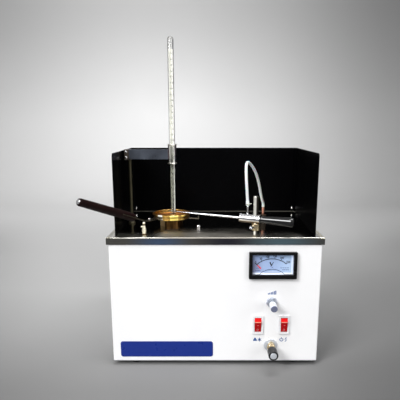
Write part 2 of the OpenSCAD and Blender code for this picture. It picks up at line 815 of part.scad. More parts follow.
module clamp_screws() {
  color("gainsboro") for (z = [4.5, 14.5])
    translate([clamp_screw_x, arm_y + arm_t, deck_z + clamp_top - 19 + z])
      rotate([-90, 0, 0]) pan_screw(5, 2, 2.9, 13);
}

module clamp_arm() {
  left = -156;
  right = thermometer_x - 7.4;
  color("#8f979c") translate([left, arm_y, deck_z + clamp_top - arm_strip_h])
    cube([right - left, arm_t, arm_strip_h]);
}

// Chrome sleeve that the thermometer slides in, on the end of the arm
module clamp_sleeve() {
  low = deck_z + clamp_top - 26.6;
  tall = 36.2;
  color("gainsboro") difference() {
    union() {
      translate([thermometer_x, thermometer_y, low]) {
        cylinder(d = 14.8, h = tall);
        for (z = [0, tall - 2.4]) translate([0, 0, z]) rotate_extrude()
          polygon([[0, 0], [8.4, 0], [9, 0.6], [9, 1.8], [8.4, 2.4], [0, 2.4]]);
      }
      // Saddle that joins the sleeve to the strip
      translate([thermometer_x - 13.4, arm_y + arm_t, low + 9]) cube([13.4, 5, arm_strip_h - 1]);
    }
    translate([thermometer_x, thermometer_y, low - 1])
      cylinder(d = thermometer_d + 2 * slip, h = tall + 2);
  }
}

module thermometer_tube() {
  r = thermometer_d / 2;
  color("#dfe3e0", 0.5) translate([thermometer_x, thermometer_y, thermometer_z]) difference() {
    union() {
      translate([0, 0, 12]) cylinder(r = r, h = thermometer_l - 12 - r);
      translate([0, 0, thermometer_l - r]) sphere(r);
      rotate_extrude() polygon([[0, 0], [1.6, 0.3], [2.5, 1.6], [2.6, 10], [r, 12], [0, 12]]);
    }
    translate([0, 0, 1.2]) cylinder(r = 1.4, h = 8.6);
    translate([0, 0, 9]) cylinder(r = 0.4, h = thermometer_l - 20);
  }
}

// Mercury in the bulb and the bore
module thermometer_core() {
  color("#8c9298") translate([thermometer_x, thermometer_y, thermometer_z]) {
    translate([0, 0, 1.3]) cylinder(r = 1.35, h = 8.3);
    translate([0, 0, 9.4]) cylinder(r = 0.36, h = 28);
  }
}

// Test flame

module flame_post() {
  color("gainsboro") translate([flame_x, flame_y, 0]) {
    translate([0, 0, deck_under - 14]) cylinder(d = post_d, h = 14 + sheet + post_h - 1);
    translate([0, 0, deck_z + post_h - 1]) rotate_extrude()
      polygon([[0, 0], [post_d / 2, 0], [post_d / 2 - 0.8, 1], [0, 1]]);
    translate([0, 0, deck_under - 7]) difference() {
      hex(13, 7);
      translate([0, 0, -1]) cylinder(d = post_d, h = 9);
    }
  }
}

// Brass collar that carries the arm, held to the post by a socket screw
module flame_collar() {
  low = 6;
  tall = flame_rise - 7.2 - low;
  color("#b89a55") translate([flame_x, flame_y, deck_z]) difference() {
    translate([0, 0, low]) rotate_extrude()
      polygon([[0, 0], [6.9, 0], [7.5, 0.6], [7.5, tall - 0.6], [6.9, tall], [0, tall]]);
    translate([0, 0, low - 1]) cylinder(d = post_d, h = tall + 2);
  }
  color("gainsboro") translate([flame_x, flame_y, deck_z + low + tall / 2])
    rotate([0, 90, 222]) difference() {
      translate([0, 0, 7.2]) cylinder(d = 7, h = 5);
      translate([0, 0, 10]) cylinder(d = 3.4 / cos(30), h = 4, $fn = 6);
    }
}

// The arm's frame: the origin at the pivot, +X along the tube to its tip
module on_arm() {
  translate([flame_x, flame_y, flame_z]) rotate([0, 0, flame_dir]) children();
}

module on_tilted_arm() {
  on_arm() rotate([0, -flame_tilt, 0]) children();
}

module arm_block() {
  r = block_d / 2;
  color("#dcdfe2") difference() {
    on_tilted_arm() rotate([0, 90, 0]) rotate_extrude($fn = 64)
      polygon([[0, -block_right], [r - 0.5, -block_right], [r, -block_right + 0.5],
               [r, block_left - 2], [r - 1.6, block_left], [0, block_left]]);
    translate([flame_x, flame_y, flame_z - 20]) cylinder(d = post_d + 2 * slip, h = 40);
    // Flat that rides on the collar
    translate([flame_x, flame_y, flame_z - 7.15 - 5]) cube([40, 40, 10], center = true);
    on_tilted_arm() translate([13, 0, 0]) rotate([0, 90, 0]) cylinder(d = 4.2, h = 20);
    on_arm() translate([nipple_x, 0, 0]) {
      cylinder(d = 3, h = 10);
      translate([0, 0, 7.2]) cylinder(d = 5.6, h = 4);
    }
  }
}

module flame_tube() {
  color("#e2e4e6") on_tilted_arm() rotate([0, 90, 0]) rotate_extrude() polygon([
    [0, 13], [2.1, 13], [2.1, block_left + 6], [1.7, 80], [1.25, 130], [0.8, flame_reach],
    [0.35, flame_reach], [0.35, flame_reach - 6], [0, flame_reach - 6]]);
}

// Barbed nipple on top of the block, for the hose
module arm_nipple() {
  color("#c8ccd2") on_arm() translate([nipple_x, 0, 4]) rotate_extrude()
    polygon([[0, 0], [1.5, 0], [1.5, 3.2], [2.8, 3.2], [2.8, 4.6], [1.6, 5.4], [1.6, 15],
             [2.1, 15.8], [1.6, 17.5], [1.3, 17.9], [0, 17.9]]);
}

module arm_handle() {
  start = block_right;
  end = 66;
  color("#0c0c0c") on_tilted_arm() rotate([0, -90, 0]) rotate_extrude($fn = 64) polygon([
    [0, start], [7.9, start], [7.9, start + 1.2], [5.9, start + 1.8], [5.8, start + 4],
    [8.2, end - 8], [8.3, end - 5], [7.6, end - 2.4], [5.6, end - 0.6], [2.8, end - 0.05], [0, end]]);
}

// Hose: a tube swept along its route

function unit(v) = v / norm(v);
function tangent(p, i) = unit(p[min(i + 1, len(p) - 1)] - p[max(i - 1, 0)]);
function across(t) = unit(cross(t, [0.35, -1, 0.1]));
function hose_ring(p, i, r, sides) =
  let (t = tangent(p, i), u = across(t), v = cross(t, u))
  [for (k = [0:sides - 1]) p[i] + r * (cos(k * 360 / sides) * u + sin(k * 360 / sides) * v)];

module hose_tube(p, d, sides) {
  n = len(p);
  points = [for (i = [0:n - 1]) each hose_ring(p, i, d / 2, sides)];
  walls = [for (i = [0:n - 2], k = [0:sides - 1])
    let (a = i * sides + k, b = i * sides + (k + 1) % sides)
    each [[a, a + sides, b], [b, a + sides, b + sides]]];
  ends = [[for (k = [0:sides - 1]) k], [for (k = [sides - 1:-1:0]) (n - 1) * sides + k]];
  polyhedron(points, concat(walls, ends));
}

module gas_hose() {
  color("white") hose_tube(hose_route, hose_d, 8);
}

// Turned post with a ball on top, the size to which the test flame is set
module bead_post() {
  color("#c9ab6a") translate([bead_x, bead_y, deck_z]) {
    rotate_extrude() union() {
      polygon([[0, 0], [3.6, 0], [3.6, 2.6], [3, 3], [3, 3.8], [3.5, 4.4], [3.6, 6.5], [3.1, 10],
               [2.3, 14.5], [1.9, 17.6], [0, 18]]);
      intersection() {
        translate([0, 19]) circle(2.4);
        translate([0, 15]) square([4, 8]);
      }
      translate([0, -9]) square([2.1, 9]);
    }
    translate([-2.2, 0, 13.2]) rotate([0, -90, 0]) cylinder(d = 2.6, h = 2.6);
  }
}

// Cooling fan

module fan_ring() {
  difference() {
    rounded_rect(fan_size, fan_size, 4);
    circle(d = 76);
    for (x = [-1, 1], z = [-1, 1]) translate([x * fan_screw, z * fan_screw]) circle(d = 4.3);
  }
}

// Frame with the motor seat and its four struts on the inner side
module fan_frame() {
  strut_t = 4;
  color("#1a1a1a") translate([fan_x, back_y - 2 * panel_t, fan_z]) {
    front_plate(fan_t - strut_t, -fan_t + strut_t) fan_ring();
    front_plate(strut_t, -fan_t) {
      fan_ring();
      difference() {
        union() {
          circle(d = 30);
          for (a = [45:90:315]) rotate(a) translate([0, -strut_t / 2]) square([40, strut_t]);
        }
        circle(d = 4);
      }
    }
  }
}

module fan_rotor() {
  blades = 7;
  mid = back_y - 2 * panel_t - 11;
  color("#262626") translate([fan_x, mid, fan_z]) {
    rotate([90, 0, 0]) cylinder(d = 30, h = 18, center = true);
    rotate([90, 0, 0]) cylinder(d = 3.9, h = 28);
    for (i = [0:blades - 1]) rotate([0, i * 360 / blades, 0])
      intersection() {
        rotate([0, 0, 32]) translate([0, 0, 24.5]) cube([18, 1.6, 26], center = true);
        rotate([90, 0, 0]) cylinder(d = 73, h = 18, center = true);
      }
  }
}

// Flat stamped guard over the fan, outside the rear panel
module fan_guard() {
  wire = guard_t;
  color("silver") translate([fan_x, back_y - panel_t, fan_z]) front_plate(wire) {
    for (r = [11, 19, 27, 35]) difference() {
      circle(r + wire / 2);
      circle(r - wire / 2);
    }
    for (a = [45, 135]) rotate(a) difference() {
      square([101, wire], center = true);
      for (end = [-1, 1]) translate([end * fan_screw * sqrt(2), 0]) circle(d = 4.3);
    }
    for (x = [-1, 1], z = [-1, 1]) translate([x * fan_screw, z * fan_screw]) difference() {
      circle(d = 8);
      circle(d = 4.3);
    }
  }
}

// Power electronics on the floor of the cabinet

module power_board() {
  x = -60;
  y = 120;
  floor_z = cabinet_floor + panel_t;
  color("#2f6b3a") translate([x, y, floor_z + 10]) cube([100, 70, 1.6], center = true);
  color("silver") {
    for (i = [-1, 1], j = [-1, 1])
      translate([x + i * 44, y + j * 29, floor_z]) cylinder(d = 6, h = 9.2);
    // Finned heat sink of the power control
    translate([x - 40, y - 10, floor_z + 10.8]) cube([50, 30, 4]);
    for (fin = [0:7])
      translate([x - 40 + fin * 6.9, y - 10, floor_z + 14.8]) cube([1.6, 30, 20]);
  }
  color("#2b4f8c") translate([x + 20, y - 28, floor_z + 10.8]) cube([24, 16, 20]);
  color("#d8d4c8") translate([x + 18, y + 14, floor_z + 10.8]) cube([28, 12, 12]);
}

// Recessed power inlet on the rear panel
module power_inlet() {
  color("#151515") translate([inlet_x, back_y - panel_t, inlet_z]) difference() {
    union() {
      front_plate(2.6) rounded_rect(31, 51, 3);
      translate([0, -26, 0]) front_plate(26) square([27, 47], center = true);
    }
    translate([0, -14, -8]) front_plate(20) rounded_rect(24, 17, 2.5);
    translate([0, 1.8, 14]) front_plate(3) square([24, 13], center = true);
  }
  color("goldenrod") for (p = [[-7, -6], [7, -6], [0, -11]])
    translate([inlet_x + p[0], back_y - panel_t - 8, inlet_z + p[1] - 1]) cube([2, 13, 4], center = true);
}

module place() {
  translate([origin_x, origin_y, 0]) children();
}

place() cabinet_shell();
place() base_pan();
place() rear_panel();
place() deck_plate();
place() windshield();
place() shield_bracket();
place() deck_screws();
place() rubber_feet();
place() casing_screws();
place() meter_case();
place() meter_dial();
place() meter_lens();
place() meter_cover();
place() meter_needle();
place() regulator_pot();
place() regulator_nut();
place() regulator_shaft();
place() regulator_knob();
place() switch_housing_left();
place() switch_housing_right();
place() rocker_left();
place() rocker_right();
place() valve_body();
place() valve_flange();
place() valve_stem();
place() valve_knob();
place() valve_insert();
place() gas_pipes();
place() deck_nipple();
place() rear_nipple();
place() heater_plate();
place() heater_element();
place() heater_pot();
place() heater_studs();
place() seat_ring();
place() cup_body();
place() cup_strap();
place() cup_grip();
place() cup_button();
place() cup_rivets();
place() thermometer_post();
place() clamp_block();
place() clamp_screws();
place() clamp_arm();
place() clamp_sleeve();
place() thermometer_tube();
place() thermometer_core();
place() flame_post();
place() flame_collar();
place() arm_block();
place() flame_tube();
place() arm_nipple();
place() arm_handle();
place() gas_hose();
place() bead_post();
place() fan_frame();
place() fan_rotor();
place() fan_guard();
place() power_board();
place() power_inlet();
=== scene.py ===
"""Looks of the open-cup flash point tester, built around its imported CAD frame. Metres, +Z up."""
import math

import bmesh
import bpy
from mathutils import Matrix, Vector


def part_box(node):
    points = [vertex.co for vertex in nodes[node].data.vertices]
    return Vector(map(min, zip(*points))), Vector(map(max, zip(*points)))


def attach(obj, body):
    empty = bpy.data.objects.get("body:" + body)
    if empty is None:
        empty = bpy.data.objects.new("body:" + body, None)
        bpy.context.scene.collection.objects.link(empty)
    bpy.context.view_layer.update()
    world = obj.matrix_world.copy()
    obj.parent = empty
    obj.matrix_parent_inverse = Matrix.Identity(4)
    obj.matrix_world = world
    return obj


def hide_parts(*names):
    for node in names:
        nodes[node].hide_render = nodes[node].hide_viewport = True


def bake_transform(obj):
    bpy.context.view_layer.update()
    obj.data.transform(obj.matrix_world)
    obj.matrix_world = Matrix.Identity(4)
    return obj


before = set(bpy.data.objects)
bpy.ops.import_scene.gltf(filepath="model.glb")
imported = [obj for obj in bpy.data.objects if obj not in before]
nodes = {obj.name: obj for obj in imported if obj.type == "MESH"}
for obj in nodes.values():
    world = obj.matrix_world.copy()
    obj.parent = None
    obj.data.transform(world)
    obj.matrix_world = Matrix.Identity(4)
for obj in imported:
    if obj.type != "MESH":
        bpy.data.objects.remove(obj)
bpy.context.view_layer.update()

MM = 0.001
deck_low, deck_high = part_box("deck_plate")
MIDDLE_X = (deck_low.x + deck_high.x) / 2
FRONT_Y = deck_low.y


def at(x, y, z):
    """A point given in mm from the cabinet's middle, the top plate's front edge and the bench."""
    return Vector((MIDDLE_X + x * MM, FRONT_Y + y * MM, z * MM))


# Camera, fitted to the photograph's 400 x 400 frame

CAMERA_PLACE = (-9.0, -677.5, 401.8)
CAMERA_DOWN = 11.62
CAMERA_LENS = 38.376
CAMERA_SHIFT = (-0.0248, 0.0452)


def make_camera():
    data = bpy.data.cameras.new("camera")
    data.sensor_width = 36
    data.lens = CAMERA_LENS
    data.shift_x, data.shift_y = CAMERA_SHIFT
    data.clip_start = 0.05
    camera = bpy.data.objects.new("camera", data)
    camera.location = at(*CAMERA_PLACE)
    camera.rotation_euler = (math.radians(90 - CAMERA_DOWN), 0, 0)
    bpy.context.scene.collection.objects.link(camera)
    bpy.context.scene.camera = camera


make_camera()


# Meshes

def add_object(name, mesh, body="root"):
    piece = bpy.data.objects.new(name, mesh)
    bpy.context.scene.collection.objects.link(piece)
    if body:
        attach(piece, body)
    return piece


def mesh_of(name, bm, smooth_angle=30):
    bmesh.ops.recalc_face_normals(bm, faces=bm.faces)
    mesh = bpy.data.meshes.new(name)
    bm.to_mesh(mesh)
    bm.free()
    soften(mesh, smooth_angle)
    return mesh


def soften(mesh, angle):
    """Smooth shading with the edges over that angle kept sharp."""
    for polygon in mesh.polygons:
        polygon.use_smooth = True
    mesh.set_sharp_from_angle(angle=math.radians(angle))


def smooth_path(points, steps):
    """A Catmull-Rom curve through points, with that many steps from each to the next."""
    ends = [2 * points[0] - points[1], *points, 2 * points[-1] - points[-2]]
    curve = []
    for a, b, c, d in zip(ends, ends[1:], ends[2:], ends[3:]):
        for step in range(steps):
            t = step / steps
            curve.append(0.5 * (2 * b + (c - a) * t + (2 * a - 5 * b + 4 * c - d) * t ** 2
                                + (3 * b - a - 3 * c + d) * t ** 3))
    return curve + [points[-1]]


def path_length(points):
    return sum((b - a).length for a, b in zip(points, points[1:]))


def tube(bm, path, radius_at, sides=20, closed=False):
    """A tube along path. radius_at gives its radius from the distance along it."""
    rings = []
    run = 0.0
    side = None
    count = len(path)
    for i, point in enumerate(path):
        if closed:
            ahead = path[(i + 1) % count] - path[i - 1]
        else:
            ahead = path[min(i + 1, count - 1)] - path[max(i - 1, 0)]
        ahead.normalize()
        if side is None:
            side = ahead.orthogonal().normalized()
        side = (side - side.dot(ahead) * ahead).normalized()
        other = ahead.cross(side)
        if i:
            run += (point - path[i - 1]).length
        radius = radius_at(run)
        rings.append([bm.verts.new(point + radius * (math.cos(a) * side + math.sin(a) * other))
                      for a in (2 * math.pi * k / sides for k in range(sides))])
    pairs = list(zip(rings, rings[1:]))
    if closed:
        pairs.append((rings[-1], rings[0]))
    for a, b in pairs:
        for k in range(sides):
            bm.faces.new((a[k], a[(k + 1) % sides], b[(k + 1) % sides], b[k]))
    if not closed:
        bm.faces.new(rings[0])
        bm.faces.new(rings[-1])


# Hose from the flame arm's nipple, up and over to the top plate's nipple

HOSE_ROUTE = [
    (54.9, 33.6, 277.0), (54.7, 33.6, 284.0), (53.5, 33.8, 300.0), (52.7, 34.3, 312.0),
    (52.1, 35.6, 322.0), (51.9, 38.2, 331.4), (52.1, 42.2, 339.3), (52.9, 47.8, 344.9),
    (54.6, 54.4, 347.6), (57.5, 61.4, 347.6), (61.2, 69.2, 344.7), (66.1, 77.5, 338.9),
    (71.4, 85.6, 330.6), (76.1, 92.8, 320.6), (79.7, 98.8, 310.0), (82.8, 104.0, 298.6),
    (85.5, 109.0, 286.8), (88.5, 114.4, 275.6), (91.7, 119.2, 266.6), (92.0, 120.0, 259.8),
]
HOSE_D = 4.8 * MM
CUFF_LENGTH = 6.5 * MM
CUFF_SWELL = 0.55 * MM
CUFF_END = 3 * MM
FAR_CUFF = 0.35
HOSE_STEPS = 6
CLIP_R = 3.35
CLIP_WIRE = 0.55 * MM
EAR_WIRE = 0.7 * MM
EAR_START = 3.2


def hose_radius(total):
    """The hose swells where it is pushed over a nipple, more at the arm than at the top plate."""
    def radius(run):
        end = min(run, total - run)
        swell = 0.5 + 0.5 * math.cos(math.pi * min(1.0, max(0.0, (end - CUFF_LENGTH) / CUFF_END)))
        return HOSE_D / 2 + CUFF_SWELL * swell * (1.0 if run < total / 2 else FAR_CUFF)
    return radius


def make_hose():
    path = smooth_path([at(*p) for p in HOSE_ROUTE], HOSE_STEPS)
    length = path_length(path)
    bm = bmesh.new()
    tube(bm, path, hose_radius(length))
    hose = add_object("silicone_hose", mesh_of("silicone_hose", bm, 60), body=None)
    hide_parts("gas_hose")
    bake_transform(hose)
    return hose


hose = make_hose()


def make_hose_clip():
    """Spring clip round the hose on the arm's nipple, with its two ears to the right."""
    bm = bmesh.new()
    foot = at(*HOSE_ROUTE[0])
    for rise in (2.0, 3.6):
        ring = [foot + Vector((CLIP_R * math.cos(a), CLIP_R * math.sin(a), rise)) * MM
                for a in (2 * math.pi * k / 28 for k in range(28))]
        tube(bm, ring, lambda run: CLIP_WIRE, sides=8, closed=True)
    for side in (-0.9, 0.9):
        ear = [foot + Vector((x, side * (1 + 0.06 * (x - EAR_START)), 2.8 + 0.12 * (x - EAR_START))) * MM
               for x in (EAR_START, 4.6, 6.0)]
        tube(bm, ear, lambda run: EAR_WIRE, sides=10)
    return add_object("hose_clip", mesh_of("hose_clip", bm, 40), body="flame_arm")


hose_clip = make_hose_clip()


# Thermometer tube and the open-fronted sleeve that it slides in

TUBE_AXIS = (-78, 111.5)
TUBE_R = 5.5
TUBE_WALL = 0.9
PLATE_W = 7.8
PLATE_DEEP = (0.9, 1.7)
SLEEVE_BORE = TUBE_R + 0.05
SLEEVE_R = 7.9
COLLAR_H = 2.4


def lathe(bm, profile, x, y, foot, steps=40, inward=False):
    """Turns profile, a list of (radius, height), about the upright axis at (x, y)."""
    rings = []
    for radius, height in profile:
        if radius == 0:
            rings.append([bm.verts.new(at(x, y, foot + height))])
            continue
        turns = (2 * math.pi * k / steps for k in range(steps))
        rings.append([bm.verts.new(at(x + radius * math.cos(a), y + radius * math.sin(a), foot + height))
                      for a in turns])
    pairs = list(zip(rings, rings[1:]))
    if profile[0][0]:
        pairs.append((rings[-1], rings[0]))
    for low, high in pairs:
        for k in range(steps):
            n = (k + 1) % steps
            corners = [low[k % len(low)], low[n % len(low)], high[n % len(high)], high[k % len(high)]]
            corners = list(dict.fromkeys(corners))
            bm.faces.new(reversed(corners) if inward else corners)


def prism(bm, outline, low, high):
    """An upright prism on outline, a closed list of (x, y) that runs to the left round its inside."""
    foot = [bm.verts.new(at(x, y, low)) for x, y in outline]
    head = [bm.verts.new(at(x, y, high)) for x, y in outline]
    count = len(outline)
    for k in range(count):
        bm.faces.new((foot[k], foot[(k + 1) % count], head[(k + 1) % count], head[k]))
    bm.faces.new(head)
    bm.faces.new(reversed(foot))


def piece_mesh(name, bm, smooth_angle=30):
    """The mesh of bm with its normals as they were made, since a hollow's point inwards."""
    mesh = bpy.data.meshes.new(name)
    bm.to_mesh(mesh)
    bm.free()
    soften(mesh, smooth_angle)
    return mesh


def dome(radius, top):
    """Profile points of a round end, from its widest ring up to just under its middle."""
    return [(radius * math.cos(math.radians(a)), top + radius * math.sin(math.radians(a)))
            for a in range(0, 90, 15)]


def make_thermometer_tube():
    """Glass tube with its bulb, the fine capillary inside and the milky scale plate behind it."""
    low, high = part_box("thermometer_tube")
    foot = low.z / MM
    length = (high.z - low.z) / MM
    top = length - TUBE_R
    inner = TUBE_R - TUBE_WALL
    x, y = TUBE_AXIS
    bm = bmesh.new()
    bulb = [(0, 0), (1.6, 0.3), (2.5, 1.6), (2.6, 12), (TUBE_R, 16)]
    hollow = [(0, 18), (inner - 1, 18), (inner, 19), *dome(inner, top), (0, length - TUBE_WALL)]
    lathe(bm, [*bulb, *dome(TUBE_R, top), (0, length)], x, y, foot)
    lathe(bm, hollow, x, y, foot, inward=True)
    lathe(bm, [(0, 18.1), (1, 18.1), (1, top - 13), (0, top - 13)], x, y, foot, steps=20)
    half = PLATE_W / 2
    front, back = (y + deep for deep in PLATE_DEEP)
    prism(bm, [(x - half, front), (x + half, front), (x + half, back), (x - half, back)],
          foot + 20, foot + top - 16)
    tube_piece = add_object("glass_tube", piece_mesh("glass_tube", bm), body="thermometer")
    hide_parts("thermometer_tube")
    return tube_piece


def make_sleeve():
    """Chrome sleeve with a collar at each end and a lug behind its arm. Its front is open in between."""
    low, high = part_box("clamp_sleeve")
    foot, head = low.z / MM, high.z / MM
    x, y = TUBE_AXIS
    gap = TUBE_R - 0.7
    collar = [(SLEEVE_BORE, 0), (8, 0), (8.5, 0.5), (8.5, 1.9), (8, COLLAR_H), (SLEEVE_BORE, COLLAR_H)]
    bm = bmesh.new()
    for level in (foot, head - COLLAR_H):
        lathe(bm, collar, x, y, level, steps=64)

    def side(radius):
        """Points round the sleeve at that radius, from one edge of its gap to the other."""
        edge = math.degrees(math.asin(gap / radius))
        turns = [math.radians(-90 + edge + (360 - 2 * edge) * k / 40) for k in range(41)]
        return [(x + radius * math.cos(a), y + radius * math.sin(a)) for a in turns]

    prism(bm, side(SLEEVE_R) + side(SLEEVE_BORE)[::-1], foot + COLLAR_H, head - COLLAR_H)
    arm_low, arm_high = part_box("clamp_arm")
    arm_back = (arm_high.y - FRONT_Y) / MM
    left, right, back = x - 13.4, x - 6.6, arm_back + 7
    prism(bm, [(left, arm_back), (right, arm_back), (right, back), (left, back)],
          arm_low.z / MM + 0.5, arm_high.z / MM - 0.5)
    sleeve = add_object("chrome_sleeve", mesh_of("chrome_sleeve", bm))
    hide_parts("clamp_sleeve")
    return sleeve


glass_tube = make_thermometer_tube()
sleeve = make_sleeve()


# Printed marks and small plates

# METER is the (x, z) of the meter's middle
METER = (95.5, 182.6)
DIAL_Y = 1.15
NEEDLE_Y = -1.3
PANEL_Y = 1.44
SIGN_Z = 48.0
DIAL_R = 37.1
DIAL_TURN = (-43, 40)
FIGURE = (3.4, 1.8)
SCALE_FOOT = 254.4
# The strokes of the figures, in a box 0.6 wide and 1 high
GLYPHS = {
    "0": [(0.3 + 0.28 * math.sin(math.radians(a)), 0.5 - 0.5 * math.cos(math.radians(a)))
          for a in range(0, 361, 24)],
    "1": [(0.12, 0.78), (0.34, 1.0), (0.34, 0.0)],
    "2": [(0.03, 0.76), (0.11, 0.94), (0.3, 1.0), (0.5, 0.93), (0.56, 0.73), (0.46, 0.5), (0.05, 0.03),
          (0.6, 0.03)],
    "3": [(0.04, 0.86), (0.22, 1.0), (0.44, 0.97), (0.54, 0.78), (0.42, 0.56), (0.26, 0.52), (0.46, 0.46),
          (0.57, 0.24), (0.44, 0.03), (0.2, 0.0), (0.02, 0.15)],
    "5": [(0.55, 0.97), (0.13, 0.97), (0.08, 0.56), (0.3, 0.64), (0.51, 0.54), (0.58, 0.3), (0.46, 0.06),
          (0.24, 0.0), (0.03, 0.12)],
}


def ribbon(bm, points, width, y, closed=False):
    """A printed line along points (x, z), all in mm, on the upright plane at that y."""
    count = len(points)
    sides = []
    for i, (x, z) in enumerate(points):
        before = points[i - 1] if closed or i else points[0]
        after = points[(i + 1) % count] if closed or i < count - 1 else points[-1]
        dx, dz = after[0] - before[0], after[1] - before[1]
        half = width / 2 / math.hypot(dx, dz)
        sides.append((bm.verts.new(at(x - dz * half, y, z + dx * half)),
                      bm.verts.new(at(x + dz * half, y, z - dx * half))))
    pairs = list(zip(sides, sides[1:]))
    if closed:
        pairs.append((sides[-1], sides[0]))
    for a, b in pairs:
        bm.faces.new((a[0], b[0], b[1], a[1]))


def disc(bm, x, z, radius, y):
    """A printed disc."""
    rim = [math.radians(12 * k) for k in range(30)]
    bm.faces.new([bm.verts.new(at(x + radius * math.cos(a), y, z + radius * math.sin(a))) for a in rim])


def write(bm, text, x, z, height, width, y, stroke):
    """Figures centred at (x, z)."""
    step = width * 1.28
    left = x - (len(text) * step - width * 0.28) / 2
    for i, sign in enumerate(text):
        shape = [(left + i * step + u / 0.6 * width, z + (v - 0.5) * height) for u, v in GLYPHS[sign]]
        ribbon(bm, shape, stroke, y)


def arc(x, z, radius, start, end, step=3):
    """Points round (x, z) from angle start to end, counted from straight up to the right."""
    count = max(2, round(abs(end - start) / step))
    turns = [math.radians(start + (end - start) * k / count) for k in range(count + 1)]
    return [(x + radius * math.sin(a), z + radius * math.cos(a)) for a in turns]


PRINTS = []


def print_of(name, bm, material, body="root"):
    """Turns the print's faces to the front and keeps it with the name of its ink."""
    for face in bm.faces:
        face.normal_update()
        if face.normal.y > 0:
            face.normal_flip()
    mesh = bpy.data.meshes.new(name)
    bm.to_mesh(mesh)
    bm.free()
    PRINTS.append((add_object(name, mesh, body), material))


def print_dial():
    """Scale from 0 to 250, V, a wave mark for alternating current, and dashes in the place of print."""
    x, z = METER
    hub = (x - 1.4, z - 26.6)
    start, end = DIAL_TURN
    bm = bmesh.new()
    ribbon(bm, arc(*hub, DIAL_R, start, end), 1.15, DIAL_Y)
    for i in range(51):
        turn = start + i * (end - start) / 50
        reach = 3.4 if i % 10 == 0 else 2.4 if i % 5 == 0 else 1.5
        line = [arc(*hub, r, turn, turn + 1)[0] for r in (DIAL_R, DIAL_R + reach)]
        ribbon(bm, line, 0.9 if i % 10 == 0 else 0.35, DIAL_Y)
    for text, px, pz in (("50", -20.1, 11.1), ("100", -9.1, 14.7), ("150", 3.1, 15.4), ("200", 14.7, 12.5),
                         ("250", 25.4, 5.3), ("0", -28.6, 4.6)):
        write(bm, text, x + px, z + pz, *FIGURE, DIAL_Y, 0.75)
    ribbon(bm, [(x - 4.9, z + 5.2), (x - 2.0, z - 1.6)], 2.1, DIAL_Y)
    ribbon(bm, [(x - 2.4, z - 1.6), (x + 0.9, z + 5.2)], 1.3, DIAL_Y)
    wave = [(x - 4.1 + 4.4 * k / 16, z - 3.5 + 0.7 * math.sin(2 * math.pi * k / 16)) for k in range(17)]
    ribbon(bm, wave, 0.6, DIAL_Y)
    print_of("dial_print", bm, "ink")
    bm = bmesh.new()
    for left, right, rise in ((13, 27.5, -4.9), (16, 27.5, -8.2), (-28, -19.5, -5.4), (-29, -20, -9.0)):
        for k in range(4):
            start = x + left + (right - left) * k / 4
            ribbon(bm, [(start, z + rise), (start + (right - left) * 0.19, z + rise)], 1.1, DIAL_Y)
    print_of("dial_dashes", bm, "pale_ink")


def print_cover():
    """Dark line round the pale cover in the meter."""
    x, z = METER
    bm = bmesh.new()
    ribbon(bm, arc(x - 1, z - 35.9, 28.6, -46, 46), 0.9, DIAL_Y)
    print_of("cover_rim", bm, "ink")


def print_needle():
    """Broad painted end of the needle, dark at its tip and red below."""
    x, z = METER
    for name, ink, start, end in (("needle_tip", "ink", (-30.1, 4.9), (-25.8, 0.4)),
                                  ("needle_band", "needle_paint", (-25.8, 0.4), (-19.7, -6.1))):
        bm = bmesh.new()
        ribbon(bm, [(x + start[0], z + start[1]), (x + end[0], z + end[1])], 1.15, NEEDLE_Y)
        print_of(name, bm, ink, "needle")


def print_labels():
    """Signs in the places of the printed labels: more, fan and cold, power and current."""
    z = SIGN_Z
    bm = bmesh.new()
    for k in range(6):
        left = 89.6 + 2.5 * k
        ribbon(bm, [(left, 130.4), (left, 132.8 + 0.9 * k)], 1.6, PANEL_Y)
    for turn in (90, 210, 330):
        a = math.radians(turn)
        disc(bm, 68.9 + 1.9 * math.cos(a), z + 1.9 * math.sin(a), 1.7, PANEL_Y)
    x = 76.6
    for turn in (0, 60, 120):
        a = math.radians(turn)
        reach = (3.5 * math.sin(a), 3.5 * math.cos(a))
        ribbon(bm, [(x - reach[0], z - reach[1]), (x + reach[0], z + reach[1])], 1.2, PANEL_Y)
    x = 114.4
    ribbon(bm, arc(x, z, 2.8, 38, 322, 12), 1.2, PANEL_Y)
    ribbon(bm, [(x, z + 0.6), (x, z + 4.1)], 1.2, PANEL_Y)
    x = 121.8
    bolt = [(x + 1.2, z + 3.7), (x - 1.5, z + 0.2), (x + 1.5, z - 0.2), (x - 1.2, z - 3.7)]
    ribbon(bm, bolt, 1.3, PANEL_Y)
    print_of("panel_signs", bm, "label_blue")


def print_rockers():
    """A ring for off low on each rocker and a bar for on above it, on the slanted lower face."""
    face_top, face_y, lean = 81.8, -4.06, 4.8 / 18.6
    for body, x in (("left_rocker", 72.8), ("right_rocker", 117.9)):
        bm = bmesh.new()
        ribbon(bm, arc(x, 67.1, 1.5, 0, 345, 15), 0.5, 0, closed=True)
        ribbon(bm, [(x - 1.1, 76.0), (x + 1.5, 76.0)], 0.5, 0)
        for vertex in bm.verts:
            vertex.co.y = FRONT_Y + (face_y + (face_top - vertex.co.z / MM) * lean) * MM
        print_of("marks_" + body, bm, "mark_white", body)


